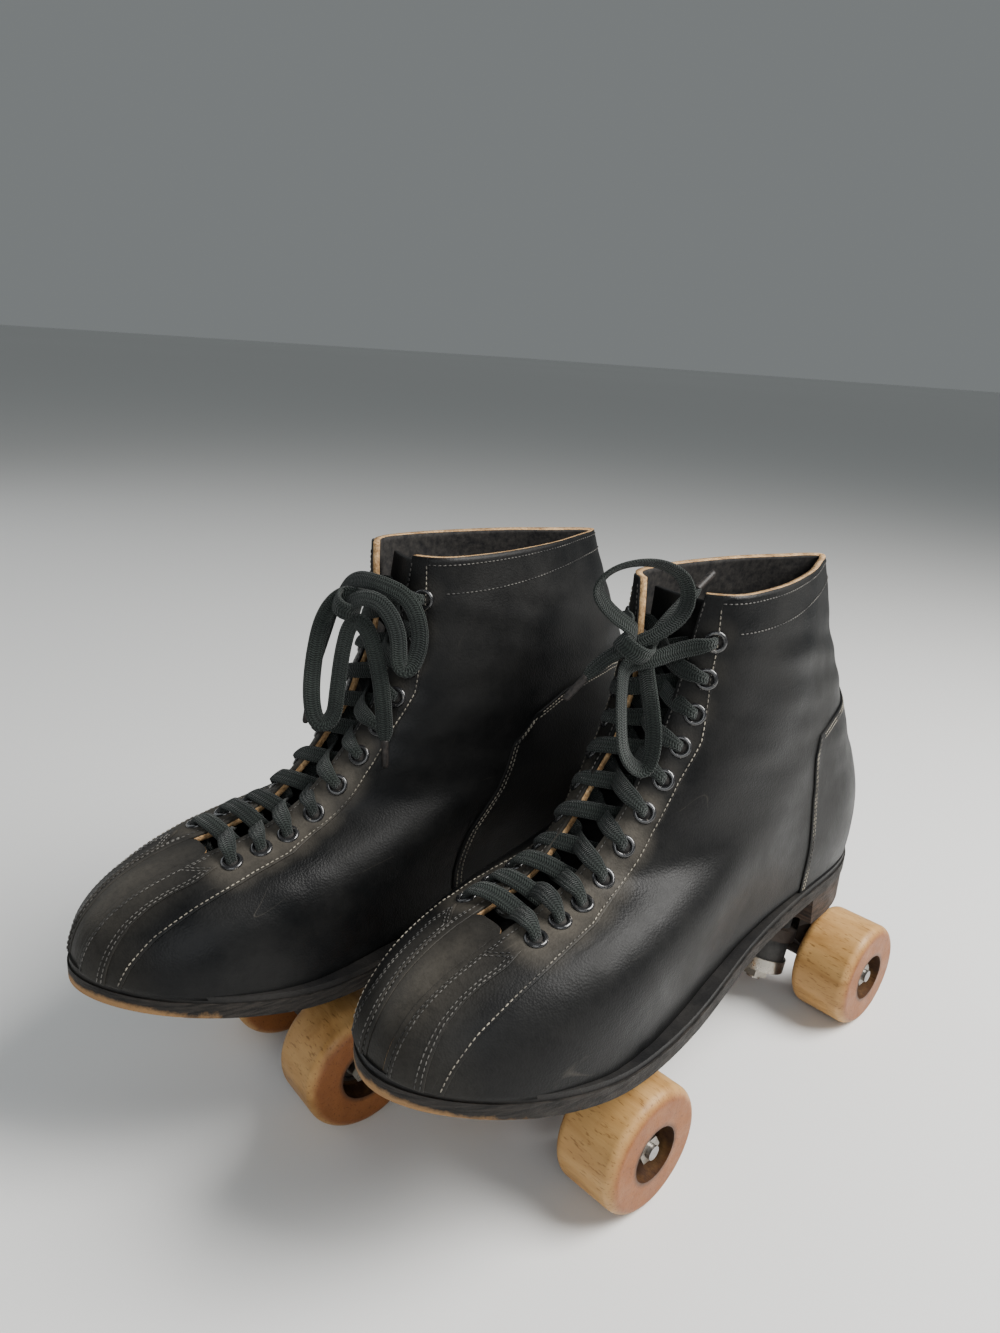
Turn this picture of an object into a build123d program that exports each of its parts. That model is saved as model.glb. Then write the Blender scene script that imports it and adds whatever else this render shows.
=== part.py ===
from build123d import *
import math
import os

# A pair of quad roller skates, in millimetres. The floor is z = 0, the toes point to -Y and +X is
# the wearer's left. Every part is modelled for the left skate in its own frame: origin on the floor
# midway between the axles, lateral side at +X. The right skate is its mirror image.

# Placement of the pair
LEFT_AT = (57.7, 66.9)
RIGHT_AT = (-46.3, 8.9)
RIGHT_TURN = -5.6

# Wheels, bearings and axles
WHEEL_DIAMETER = 57.0
WHEEL_WIDTH = 32.0
WHEEL_EDGE_RADIUS = 5.0
TRACK = 106.6
WHEELBASE = 190.0
RECESS_RADIUS = 12.6
RECESS_DEPTH = 10.0
INNER_RECESS_DEPTH = 2.0
BEARING_RADIUS = 10.6
AXLE_RADIUS = 3.2
RUNNING_CLEARANCE = 0.05
NUT_ACROSS_FLATS = 11.0
NUT_HEIGHT = 5.6
WASHER_RADIUS = 6.4
WASHER_THICKNESS = 1.2
END_GAP = 0.3

# Sole plate and trucks
PLATE_TOP = 70.5
PLATE_THICKNESS = 3.5
PLATE_WIDTH = 44.0
PLATE_BRIDGE_WIDTH = 26.0
SCREW_Y = (-114.0, -66.0, 60.0, 106.0)
PAD_PAST_SCREW = (14.0, 8.0, 12.0, 10.0)
PAD_PAST_POST = 7.0
KINGPIN_SETBACK = 18.0
RING_Z = 41.0
RING_THICKNESS = 7.0
RING_RADIUS = 15.0
KINGPIN_LEAN = 17.0
KINGPIN_RADIUS = 4.0
KINGPIN_NUT_FLATS = 13.0
KINGPIN_NUT_HEIGHT = 6.0
UPPER_CUSHION_RADIUS = 11.0
UPPER_CUSHION_HEIGHT = 7.0
LOWER_CUSHION_RADIUS = 13.0
LOWER_CUSHION_HEIGHT = 16.0
RETAINER_FLOOR = 3.0
RETAINER_RIM = 4.0
RETAINER_WALL = 1.4
BOSS_RADIUS = 12.0
SWING_CLEARANCE = 3.0
PIVOT_OVERHANG = 14.0
PIVOT_RADIUS = 4.5
SOCKET_WALL = 4.0
SOCKET_DEPTH = 8.0
HOUSING_RADIUS = 7.0
SIDE_GAP = 0.8
SCREW_RADIUS = 1.8
SCREW_HEAD_RADIUS = 3.4
SCREW_HEAD_HEIGHT = 1.5
SCREW_GRIP = 5.0

# Sole
WELT_THICKNESS = 3.0
OUTSOLE_THICKNESS = 6.5
WELT_MARGIN = 2.4
OUTSOLE_MARGIN = 3.2
HEEL_BREAST_Y = 47.0
HEEL_BREAST_SLOPE = 4.0
HEEL_LIFTS = 4

# Upper
LEATHER = 3.0
INSOLE_THICKNESS = 3.5
COUNTER_THICKNESS = 1.2
TONGUE_THICKNESS = 3.0
TONGUE_DROP = 13.0
TONGUE_HALF_WIDTH = 19.0
EYELET_X = 18.0
EYELET_RADIUS = 4.8
EYELET_HOLE_RADIUS = 2.7
EYELET_BARREL_RADIUS = 3.4
EYELET_FLANGE = 0.9
EYELET_LIFT = 0.8
EYELET_RECESS = 1.5
SEAM_GAP = 0.3

# Lace
LACE_DIAMETER = 3.6
AGLET_RADIUS = 1.5
AGLET_LENGTH = 13.0

AXLE_Z = WHEEL_DIAMETER / 2
RING_U = WHEELBASE / 2 - KINGPIN_SETBACK
PIVOT_U = WHEELBASE / 2 + PIVOT_OVERHANG
# Each pad of the sole plate covers its screws and the post that holds its truck's pivot.
FRONT_PAD_Y = (-max(PIVOT_U + PAD_PAST_POST, PAD_PAST_SCREW[0] - SCREW_Y[0]), SCREW_Y[1] + PAD_PAST_SCREW[1])
REAR_PAD_Y = (SCREW_Y[2] - PAD_PAST_SCREW[2], max(PIVOT_U + PAD_PAST_POST, SCREW_Y[3] + PAD_PAST_SCREW[3]))
SOLE_STACK = WELT_THICKNESS + OUTSOLE_THICKNESS

# Feather line in side view: where the upper meets the welt, as (y, z).
FEATHER = [(-215, 98.5), (-190, 95), (-166, 91), (-140, 85.6), (-117, 81.4), (-94, 80.1), (-60, 80.1),
           (-20, 83.5), (20, 91), (50, 95.5), (90, 97), (140, 97)]

# Stations along each section of the upper, from its back point (0) to its front point (1).
STATIONS = (0.03, 0.12, 0.28, 0.45, 0.62, 0.78, 0.91, 0.98)

# Sections of the upper from feather to collar: back (y, z), front (y, z), then the lateral and the
# medial half widths at the stations.
SECTIONS = [
    ((118, 76), (-198, 76), (14, 28, 31, 33, 42, 47.5, 40, 22), (14, 27, 29, 30, 38, 46, 41, 23)),
    ((124, 108), (-200, 102), (14, 30, 34, 36, 45, 48, 38, 19), (14, 29, 31, 31, 40, 46, 38, 19)),
    ((124, 128), (-187, 120), (13, 29, 35, 38, 45, 45, 33, 15), (13, 29, 32, 34, 42, 42, 31, 14)),
    ((116, 150), (-160, 131), (11, 26, 34, 38, 40, 36, 25, 11), (11, 26, 33, 36, 39, 33, 22, 10)),
    ((103, 174), (-124, 139), (9, 22, 32, 37, 36, 30, 20, 10), (9, 22, 32, 36, 35, 29, 19, 10)),
    ((91, 199), (-90, 165), (6, 17, 28, 35, 36, 32, 23, 12), (6, 17, 28, 35, 36, 32, 23, 12)),
    ((77, 227), (-65, 205), (5, 13, 23, 30, 33, 32, 26, 14), (5, 13, 23, 30, 33, 32, 26, 14)),
    ((65, 256), (-60, 254), (4, 9, 17, 23, 27, 28, 25, 14), (4, 9, 17, 23, 27, 28, 25, 14)),
]

# Throat between the facings in front view, as (half width, z), from its rounded end upwards.
THROAT = [(8.0, 136), (9.0, 150), (10.0, 190), (13.0, 232), (19.0, 270)]
THROAT_END_Z = 131.0
THROAT_Y = (-230.0, -25.0)

# Ridge of the instep in side view, as (y, z), from the toe cap to the collar.
RIDGE = [(-170, 128), (-150, 133), (-124, 139), (-104, 152), (-90, 165), (-76, 185), (-66, 205),
         (-62, 228), (-60, 254)]

# Eyelets in side view, as (y, z), from the toe upwards.
EYELETS = [(-141, 128), (-128, 131), (-116, 136), (-104, 145), (-93, 155.5), (-82, 167), (-72, 178.5),
           (-63, 191), (-56, 204), (-51, 219), (-49, 235)]

# Plan of the sole at the feather line: (y, lateral half width, medial half width).
SOLE_PLAN = [(108, 16, 16), (84, 28.5, 27.5), (40, 32.5, 29.5), (-10, 34, 30), (-62, 43, 39.5),
             (-112, 48, 46.5), (-150, 44.5, 44.5), (-180, 31, 32)]
SOLE_BACK_Y = 120.5
SOLE_FRONT_Y = -200.0

# Bow of each skate's lace: (x, y, z) after the top eyelet, for the half that leaves the medial
# eyelet and the half that leaves the lateral one. The last two points carry the aglet.
LEFT_BOW_MEDIAL = [(-13, -63, 237), (-5, -74, 234), (3, -79, 238), (-6, -88, 246), (-9, -95, 256),
                   (-3, -90, 265), (5, -75, 267), (11, -62, 260), (13, -62, 247), (8, -72, 238),
                   (-2, -80, 231), (-9, -87, 224), (-12, -92, 217)]
LEFT_BOW_LATERAL = [(14, -63, 232), (7, -74, 227), (0, -82, 225), (5, -89, 218), (12, -96, 206),
                    (15, -96, 193), (20, -88, 186), (21, -85, 198), (15, -82, 212), (7, -76, 220),
                    (0, -70, 229), (2, -62, 239), (3, -51, 247), (3, -42, 252)]
RIGHT_BOW_MEDIAL = [(-13, -63, 237), (-5, -74, 234), (2, -80, 236), (5, -88, 226), (2, -94, 208),
                    (-5, -99, 192), (-9, -98, 181), (-13, -92, 184), (-12, -90, 197), (-9, -86, 214),
                    (-7, -81, 226), (-14, -77, 225), (-21, -75, 208), (-25, -74, 188), (-26, -74, 174)]
RIGHT_BOW_LATERAL = [(14, -63, 232), (7, -74, 227), (0, -82, 228), (-10, -79, 237), (-19, -73, 236),
                     (-25, -68, 224), (-27, -69, 208), (-30, -64, 207), (-30, -59, 222),
                     (-24, -62, 238), (-12, -72, 243), (2, -75, 242), (12, -76, 232), (17, -79, 214),
                     (18, -85, 196), (17, -88, 183)]


def lerp(a, b, t):
    """Point a share t of the way from a to b."""
    return tuple(p + (q - p) * t for p, q in zip(a, b))


# ---------------------------------------------------------------- upper
def section_wire(section, grow):
    """Closed spline of one section, its outline moved outwards by grow."""
    back, front, lateral, medial = section
    length = math.dist(back, front)
    back_out = lerp(back, front, -grow / length)
    front_out = lerp(front, back, -grow / length)
    points = [(0, *back_out)]
    for width, station in zip(lateral, STATIONS):
        y, z = lerp(back_out, front_out, station)
        points.append((width + grow, y, z))
    points.append((0, *front_out))
    for width, station in reversed(list(zip(medial, STATIONS))):
        y, z = lerp(back_out, front_out, station)
        points.append((-width - grow, y, z))
    return Wire([Spline(*points, periodic=True).edge()])


def last_form(grow):
    """Solid of the boot's outer form, from under the feather line to the collar."""
    return Solid.make_loft([section_wire(s, grow) for s in SECTIONS])


def side_band(low, high, half_width=80.0):
    """Band that follows the feather line, from low to high above it, across the skate."""
    bottom = [(0, y, z + low) for y, z in FEATHER]
    top = [(0, y, z + high) for y, z in FEATHER]
    edges = [Spline(*bottom).edge(), Line(bottom[-1], top[-1]).edge(), Spline(*top).edge(),
             Line(top[0], bottom[0]).edge()]
    face = Face(Wire(edges))
    return extrude(face, amount=half_width, dir=(1, 0, 0), both=True)


def side_prism(points, half_width=80.0):
    """Prism across the skate over a polygon in side view, given as (y, z)."""
    face = make_face(Polyline([(0, y, z) for y, z in points], close=True))
    return extrude(face, amount=half_width, dir=(1, 0, 0), both=True)


def throat_cutter():
    """The gap between the two facings, cut through the front of the upper."""
    right = [(w, THROAT_Y[0], z) for w, z in THROAT]
    left = [(-x, y, z) for x, y, z in right]
    edges = [Spline(*right).edge(), Line(right[-1], left[-1]).edge(), Spline(*left).edge(),
             ThreePointArc(left[0], (0, THROAT_Y[0], THROAT_END_Z), right[0]).edge()]
    return extrude(Face(Wire(edges)), amount=THROAT_Y[1] - THROAT_Y[0], dir=(0, 1, 0))


outer_form = last_form(0.0)
inner_form = last_form(-LEATHER)
lining_form = last_form(-LEATHER - SEAM_GAP)
above_feather = side_band(0.0, 200.0)


def eyelet_places():
    """Planes on the outer surface at each eyelet: a list of pairs (lateral, medial)."""
    side = max(outer_form.faces(), key=lambda f: f.area)
    places = []
    for y, z in EYELETS:
        pair = []
        for sign in (1, -1):
            spot = side.distance_to_with_closest_points(Vertex(sign * EYELET_X, y, z))[1]
            normal = side.normal_at(spot)
            if normal.X * sign < 0:
                normal = -normal
            pair.append(Plane(origin=spot, z_dir=normal))
        places.append(pair)
    return places


EYELET_PLACES = eyelet_places()


def make_upper():
    """Leather upper: vamp and quarters with the throat, the collar and the eyelet holes."""
    shell = (outer_form - inner_form) & above_feather
    shell -= throat_cutter()
    radius = EYELET_BARREL_RADIUS + RUNNING_CLEARANCE
    drills = [plane * Cylinder(radius, 16) for pair in EYELET_PLACES for plane in pair]
    return shell - drills


def make_heel_counter():
    """Counter panel sewn round the back of the upper."""
    outline = [(44, 60), (46, 112), (52, 150), (66, 174), (88, 196), (140, 200), (140, 60)]
    panel = last_form(SEAM_GAP + COUNTER_THICKNESS) - last_form(SEAM_GAP)
    return (panel & side_prism(outline)) & above_feather


def make_tongue():
    """Tongue: a bent sheet under the throat, kept inside the upper."""
    outside, inside = [], []
    for k, (y, z) in enumerate(RIDGE):
        y0, z0 = RIDGE[max(k - 1, 0)]
        y1, z1 = RIDGE[min(k + 1, len(RIDGE) - 1)]
        run = math.hypot(y1 - y0, z1 - z0)
        inward = ((z1 - z0) / run, -(y1 - y0) / run)
        outside.append((0, y + inward[0] * TONGUE_DROP, z + inward[1] * TONGUE_DROP))
        drop = TONGUE_DROP + TONGUE_THICKNESS
        inside.append((0, y + inward[0] * drop, z + inward[1] * drop))
    edges = [Spline(*outside).edge(), Line(outside[-1], inside[-1]).edge(), Spline(*inside).edge(),
             Line(inside[0], outside[0]).edge()]
    sheet = extrude(Face(Wire(edges)), amount=TONGUE_HALF_WIDTH, dir=(1, 0, 0), both=True)
    return sheet & lining_form


def make_insole():
    """Footbed inside the upper."""
    return lining_form & side_band(0.0, INSOLE_THICKNESS)


def make_eyelets():
    """Rolled eyelets: a rounded flange outside, a barrel through the leather."""
    ring = Cylinder(EYELET_RADIUS, EYELET_FLANGE, align=(Align.CENTER, Align.CENTER, Align.MIN))
    ring = fillet(ring.edges().group_by(Axis.Z)[-1], EYELET_FLANGE * 0.6)
    barrel = Cylinder(EYELET_BARREL_RADIUS, LEATHER - EYELET_RECESS,
                      align=(Align.CENTER, Align.CENTER, Align.MAX))
    hole = Cylinder(EYELET_HOLE_RADIUS, 20)
    one = Pos(0, 0, EYELET_LIFT) * ring + barrel + Pos(0, 0, EYELET_LIFT / 2) * Cylinder(
        EYELET_BARREL_RADIUS, EYELET_LIFT)
    one -= hole
    return Compound(children=[plane * one for pair in EYELET_PLACES for plane in pair])


# ---------------------------------------------------------------- sole
def sole_outline(margin, low, high):
    """Prism over the plan of the sole, grown by a margin."""
    points = [(0, SOLE_BACK_Y + margin)]
    points += [(lateral + margin, y) for y, lateral, medial in SOLE_PLAN]
    points += [(0, SOLE_FRONT_Y - margin)]
    points += [(-medial - margin, y) for y, lateral, medial in reversed(SOLE_PLAN)]
    wire = Wire([Spline(*[(x, y, low) for x, y in points], periodic=True).edge()])
    return extrude(Face(wire), amount=high - low, dir=(0, 0, 1))


def make_welt():
    """Storm welt and midsole layer under the feather line."""
    return sole_outline(WELT_MARGIN, 60, 120) & side_band(-WELT_THICKNESS, 0.0)


def screw_places():
    """Plan places of the screws that hold the plate to sole and heel."""
    x = PLATE_WIDTH / 2 - 7
    return [(sign * x, y) for y in SCREW_Y for sign in (1, -1)]


def screw_holes(radius, low, high):
    """Cylinders at every screw place."""
    height = high - low
    return [Pos(x, y, (low + high) / 2) * Cylinder(radius, height) for x, y in screw_places()]


def make_outsole():
    """Outsole with toe spring and waist, flat where the plate carries it."""
    sole = sole_outline(OUTSOLE_MARGIN, 60, 120) & side_band(-SOLE_STACK, -WELT_THICKNESS)
    sole -= Pos(0, 0, PLATE_TOP - 10) * Box(200, 500, 20)
    return sole - screw_holes(SCREW_RADIUS, 0, PLATE_TOP + SCREW_GRIP)


def make_heel_stack():
    """Stacked leather heel under the seat of the outsole, in separate lifts."""
    top_at_breast = PLATE_TOP + 30
    side = [(HEEL_BREAST_Y + HEEL_BREAST_SLOPE, PLATE_TOP), (HEEL_BREAST_Y, top_at_breast),
            (140, top_at_breast), (140, PLATE_TOP)]
    block = (sole_outline(OUTSOLE_MARGIN - 0.6, 60, 120) & side_prism(side)) - side_band(-SOLE_STACK, 60)
    block -= screw_holes(SCREW_RADIUS, 0, PLATE_TOP + SCREW_GRIP)
    seat = FEATHER[-1][1] - SOLE_STACK
    lift = (seat - PLATE_TOP) / HEEL_LIFTS
    lifts = []
    for k in range(HEEL_LIFTS):
        low = PLATE_TOP + k * lift
        high = low + lift if k < HEEL_LIFTS - 1 else low + 4 * lift
        slab = Pos(0, 80, (low + high) / 2) * Box(120, 160, high - low)
        lifts += (block & slab).solids()
    return Compound(children=lifts)


# ---------------------------------------------------------------- plate and trucks
LEAN = math.radians(KINGPIN_LEAN)


def truck_plane(end, along, u_shift=0.0):
    """Plane on the kingpin at a distance along it from the ring, normal up along the kingpin.

    end is -1 for the front truck and 1 for the rear one."""
    u = RING_U + along * math.sin(LEAN) + u_shift
    z = RING_Z + along * math.cos(LEAN)
    return Plane(origin=(0, end * u, z), x_dir=(1, 0, 0), z_dir=(0, end * math.sin(LEAN), math.cos(LEAN)))


def steer_plane(end, u):
    """Plane across the steering axis at a distance u from the middle, normal outwards along it."""
    z = RING_Z + (u - RING_U) * math.tan(LEAN)
    return Plane(origin=(0, end * u, z), x_dir=(1, 0, 0), z_dir=(0, end * math.cos(LEAN), math.sin(LEAN)))


def pin(plane, radius, start, stop):
    """Round bar along a plane's normal."""
    middle = (start + stop) / 2
    return plane * Pos(0, 0, middle) * Cylinder(radius, stop - start)


def hexagon(plane, across_flats, bore, start, stop):
    """Hexagon nut along a plane's normal."""
    sketch = plane * Pos(0, 0, start) * (RegularPolygon(across_flats / 2, 6, major_radius=False)
                                         - Circle(bore))
    return extrude(sketch, amount=stop - start)


def pad(y_range, width):
    """Rounded end pad of the plate."""
    length = y_range[1] - y_range[0]
    sketch = Pos(0, (y_range[0] + y_range[1]) / 2, PLATE_TOP - PLATE_THICKNESS) * RectangleRounded(
        width, length, 12)
    return extrude(sketch, amount=PLATE_THICKNESS)


def make_sole_plate():
    """Cast plate with, for each truck, the kingpin boss and the pivot socket."""
    bridge = Pos(0, (FRONT_PAD_Y[0] + REAR_PAD_Y[1]) / 2, PLATE_TOP - PLATE_THICKNESS / 2) * Box(
        PLATE_BRIDGE_WIDTH, REAR_PAD_Y[1] - FRONT_PAD_Y[0] - 24, PLATE_THICKNESS)
    plate = pad(FRONT_PAD_Y, PLATE_WIDTH) + pad(REAR_PAD_Y, PLATE_WIDTH) + bridge
    below = Pos(0, 0, (PLATE_TOP - PLATE_THICKNESS) / 2) * Box(200, 400, PLATE_TOP - PLATE_THICKNESS)
    for end in (-1, 1):
        kingpin = truck_plane(end, 0)
        boss_start = RING_THICKNESS / 2 + UPPER_CUSHION_HEIGHT
        boss = pin(kingpin, BOSS_RADIUS, boss_start, 60) & below
        socket = steer_plane(end, PIVOT_U)
        block = pin(socket, PIVOT_RADIUS + SOCKET_WALL, -SOCKET_DEPTH, 3)
        post = Pos(0, end * PIVOT_U, (RING_Z + PLATE_TOP) / 2) * Box(
            2 * PIVOT_RADIUS + SOCKET_WALL, SOCKET_DEPTH, PLATE_TOP - RING_Z)
        reach = RING_Z + (PIVOT_U - RING_U) * math.tan(LEAN)
        post &= Pos(0, end * PIVOT_U, reach + 15) * Box(40, 40, 30)
        plate += boss + block + (post & below)
        plate -= pin(socket, PIVOT_RADIUS + RUNNING_CLEARANCE, -60, 0)
        plate -= pin(kingpin, KINGPIN_RADIUS, -60, boss_start + 12)
    plate -= screw_holes(SCREW_RADIUS, 0, 100)
    return plate


def make_plate_screws():
    """Screws through the plate into the sole and the heel."""
    under = PLATE_TOP - PLATE_THICKNESS
    screws = []
    for x, y in screw_places():
        head = Pos(x, y, under - SCREW_HEAD_HEIGHT / 2) * Cylinder(SCREW_HEAD_RADIUS, SCREW_HEAD_HEIGHT)
        length = PLATE_THICKNESS + SCREW_GRIP
        screws.append(head + Pos(x, y, under + length / 2) * Cylinder(SCREW_RADIUS, length))
    return Compound(children=screws)


def make_action_bolt(end):
    """Kingpin, the cup that holds the lower cushion, and the adjusting nut."""
    plane = truck_plane(end, 0)
    cup_top = -RING_THICKNESS / 2 - LOWER_CUSHION_HEIGHT
    cup_bottom = cup_top - RETAINER_FLOOR
    rim = LOWER_CUSHION_RADIUS + RETAINER_WALL
    cup = pin(plane, rim, cup_bottom, cup_top + RETAINER_RIM)
    cup -= pin(plane, LOWER_CUSHION_RADIUS, cup_top, cup_top + RETAINER_RIM + 1)
    cup -= pin(plane, KINGPIN_RADIUS, cup_bottom - 1, cup_top + 1)
    nut_bottom = cup_bottom - KINGPIN_NUT_HEIGHT
    nut = hexagon(plane, KINGPIN_NUT_FLATS, KINGPIN_RADIUS, nut_bottom, cup_bottom)
    bolt = pin(plane, KINGPIN_RADIUS, nut_bottom - 2, RING_THICKNESS / 2 + UPPER_CUSHION_HEIGHT + 12)
    return Compound(children=[cup.solid(), nut.solid(), bolt.solid()])


def make_cushions(end):
    """Rubber cushions above and below the hanger ring."""
    plane = truck_plane(end, 0)
    half = RING_THICKNESS / 2
    upper = pin(plane, UPPER_CUSHION_RADIUS, half, half + UPPER_CUSHION_HEIGHT)
    lower = pin(plane, LOWER_CUSHION_RADIUS, -half - LOWER_CUSHION_HEIGHT, -half)
    bore = pin(plane, KINGPIN_RADIUS, -60, 60)
    return Compound(children=[(upper - bore).solid(), (lower - bore).solid()])


def make_hanger(end):
    """Truck hanger: ring on the kingpin, pivot arm and axle housing in one casting."""
    kingpin = truck_plane(end, 0)
    half = RING_THICKNESS / 2
    ring = pin(kingpin, RING_RADIUS, -half, half)
    housing_half = TRACK / 2 - WHEEL_WIDTH - SIDE_GAP
    housing = Pos(0, end * WHEELBASE / 2, AXLE_Z) * Rot(0, 90, 0) * Cylinder(HOUSING_RADIUS, 2 * housing_half)
    # Web from the ring over the axle housing, narrow at the ring and wide at the housing.
    u0, u1 = RING_U + 4, WHEELBASE / 2
    top = RING_Z + (u1 - RING_U) * math.tan(LEAN) + 3
    side = [(u0, RING_Z - 2), (u0, RING_Z + 4), (u1, top), (u1 + 5.5, AXLE_Z + 3), (u1, AXLE_Z - 5),
            (u1 - 6, AXLE_Z + 2)]
    web = side_prism([(end * u, z) for u, z in side], 60)
    plan = [(RING_RADIUS - 2, u0), (housing_half - 1, u1 - 5), (housing_half - 1, u1 + 8)]
    plan_face = make_face(Polyline([(x, end * u, 0) for x, u in plan]
                                   + [(-x, end * u, 0) for x, u in reversed(plan)], close=True))
    web &= extrude(plan_face, amount=80, dir=(0, 0, 1))
    clear = pin(kingpin, LOWER_CUSHION_RADIUS + SWING_CLEARANCE / 2, -60, -half)
    clear += pin(kingpin, BOSS_RADIUS + SWING_CLEARANCE, half, 60)
    arm = pin(steer_plane(end, PIVOT_U), PIVOT_RADIUS, -(PIVOT_U - RING_U) / math.cos(LEAN) + 10, -0.3)
    casting = ring + (web - clear) + housing + (arm - clear)
    casting -= pin(kingpin, KINGPIN_RADIUS + 1.8, -60, 60)
    return casting - axle_bar(end)


def axle_bar(end):
    """The axle's round bar."""
    return Pos(0, end * WHEELBASE / 2, AXLE_Z) * Rot(0, 90, 0) * Cylinder(AXLE_RADIUS, TRACK - 1.6)


def make_axle_nuts(end):
    """A washer and a hexagon nut at each end of an axle."""
    pieces = []
    start = TRACK / 2 - RECESS_DEPTH + END_GAP
    for sign in (1, -1):
        plane = Plane(origin=(0, end * WHEELBASE / 2, AXLE_Z), x_dir=(0, 1, 0), z_dir=(sign, 0, 0))
        washer = pin(plane, WASHER_RADIUS, start, start + WASHER_THICKNESS)
        pieces.append((washer - axle_bar(end)).solid())
        nut_start = start + WASHER_THICKNESS
        nut = hexagon(plane, NUT_ACROSS_FLATS, AXLE_RADIUS, nut_start, nut_start + NUT_HEIGHT)
        pieces.append(nut.solid())
    return Compound(children=pieces)


def wheel_plane(end, sign):
    """Plane in a wheel's inner face, on the axle, normal towards its outer face."""
    inner = sign * (TRACK / 2 - WHEEL_WIDTH)
    return Plane(origin=(inner, end * WHEELBASE / 2, AXLE_Z), x_dir=(0, 1, 0), z_dir=(sign, 0, 0))


def make_wheel(end, sign):
    """Turned wooden wheel with rounded edges, a deep outer recess and the bearing seat."""
    blank = Pos(0, 0, WHEEL_WIDTH / 2) * Cylinder(WHEEL_DIAMETER / 2, WHEEL_WIDTH)
    blank = fillet(blank.edges().filter_by(GeomType.CIRCLE), WHEEL_EDGE_RADIUS)
    blank -= Cylinder(BEARING_RADIUS, 3 * WHEEL_WIDTH)
    blank -= Pos(0, 0, WHEEL_WIDTH - RECESS_DEPTH / 2) * Cylinder(RECESS_RADIUS, RECESS_DEPTH)
    blank -= Pos(0, 0, INNER_RECESS_DEPTH / 2) * Cylinder(RECESS_RADIUS, INNER_RECESS_DEPTH)
    return wheel_plane(end, sign) * blank


def make_bearing(end, sign):
    """Bearing unit pressed into the wheel, with a shouldered outer face."""
    plane = wheel_plane(end, sign)
    body = pin(plane, BEARING_RADIUS, INNER_RECESS_DEPTH, WHEEL_WIDTH - RECESS_DEPTH)
    outer = WHEEL_WIDTH - RECESS_DEPTH
    groove = pin(plane, BEARING_RADIUS - 1.5, outer - 1, outer + 1) - pin(plane, 5.6, outer - 2, outer + 2)
    return body - groove - pin(plane, AXLE_RADIUS + RUNNING_CLEARANCE, -40, 80)


# ---------------------------------------------------------------- lace
def lace_points(start_sign, bow, lift):
    """Route of one half of a lace, from the middle of its bottom bar through the eyelets.

    start_sign is 1 when it goes through the lateral eyelet first. lift raises its crossings over
    the other half's."""
    first = EYELET_PLACES[0][0 if start_sign > 0 else 1]
    spot, normal = first.origin, first.z_dir
    under = spot - normal * 7
    points = [Vector(start_sign * 2.5, under.Y - 3, under.Z - 1), Vector(under.X * 0.6, under.Y - 2, under.Z - 1)]
    sign = start_sign
    for k in range(len(EYELETS)):
        place = EYELET_PLACES[k][0 if sign > 0 else 1]
        points += [place.origin - place.z_dir * 7, place.origin + place.z_dir * 4.6]
        if k + 1 < len(EYELETS):
            after = EYELET_PLACES[k + 1][0 if sign < 0 else 1]
            out = (place.z_dir + after.z_dir) * 0.5
            out = Vector(0, out.Y, out.Z).normalized()
            start = place.origin + (after.origin - place.origin) * 0.25
            stop = place.origin + (after.origin - place.origin) * 0.72
            points.append(Vector(sign * 8, start.Y, start.Z) + out * (7.0 + lift))
            points.append(Vector(-sign * 8, stop.Y, stop.Z) - out * (6.0 - lift))
        sign = -sign
    return points + [Vector(*p) for p in bow]


def corner_radii(points):
    """Radius of the arc at each corner: as large as the two runs beside it allow."""
    radii = []
    for before, here, after in zip(points, points[1:], points[2:]):
        shorter = min((here - before).length, (after - here).length)
        turn = math.radians((here - before).get_angle(after - here))
        radii.append(0.45 * shorter / math.tan(turn / 2))
    return radii


def tube(points, diameter, name):
    """Round tube along straight runs joined by tangent arcs."""
    radii = corner_radii(points)
    path = FilletPolyline(*points, radius=radii)
    start = Plane(origin=points[0], z_dir=points[1] - points[0])
    body = sweep(start * Circle(diameter / 2), path=path)
    expected = math.pi * diameter ** 2 / 4 * path.length
    print(name, "length", round(path.length), "smallest radius", round(min(radii), 1),
          "volume share", round(body.volume / expected, 4))
    return body


def make_lace(bows, name):
    """The lace as two halves that meet under the lowest eyelets, and its aglets."""
    halves, aglets = [], []
    for start_sign, bow, lift in ((-1, bows[0], 1.6), (1, bows[1], -1.6)):
        points = lace_points(start_sign, bow, lift)
        halves.append(tube(points, LACE_DIAMETER, name).solid())
        heading = (points[-1] - points[-2]).normalized()
        aglets.append(pin(Plane(origin=points[-1], z_dir=heading), AGLET_RADIUS, 0, AGLET_LENGTH).solid())
    return Compound(children=halves), Compound(children=aglets)


# ---------------------------------------------------------------- assembly
def skate_parts():
    """Every part of the left skate but its lace, by name."""
    parts = {
        "upper": make_upper(),
        "heel_counter": make_heel_counter(),
        "tongue": make_tongue(),
        "insole": make_insole(),
        "eyelets": make_eyelets(),
        "welt": make_welt(),
        "outsole": make_outsole(),
        "heel_stack": make_heel_stack(),
        "sole_plate": make_sole_plate(),
        "plate_screws": make_plate_screws(),
    }
    for end, name in ((-1, "front"), (1, "rear")):
        parts[f"{name}_action_bolt"] = make_action_bolt(end)
        parts[f"{name}_cushions"] = make_cushions(end)
        parts[f"{name}_hanger"] = make_hanger(end)
        parts[f"{name}_axle"] = axle_bar(end)
        parts[f"{name}_axle_nuts"] = make_axle_nuts(end)
        for sign, side in ((1, "lateral"), (-1, "medial")):
            parts[f"{name}_{side}_wheel"] = make_wheel(end, sign)
            parts[f"{name}_{side}_bearing"] = make_bearing(end, sign)
    return parts


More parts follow.
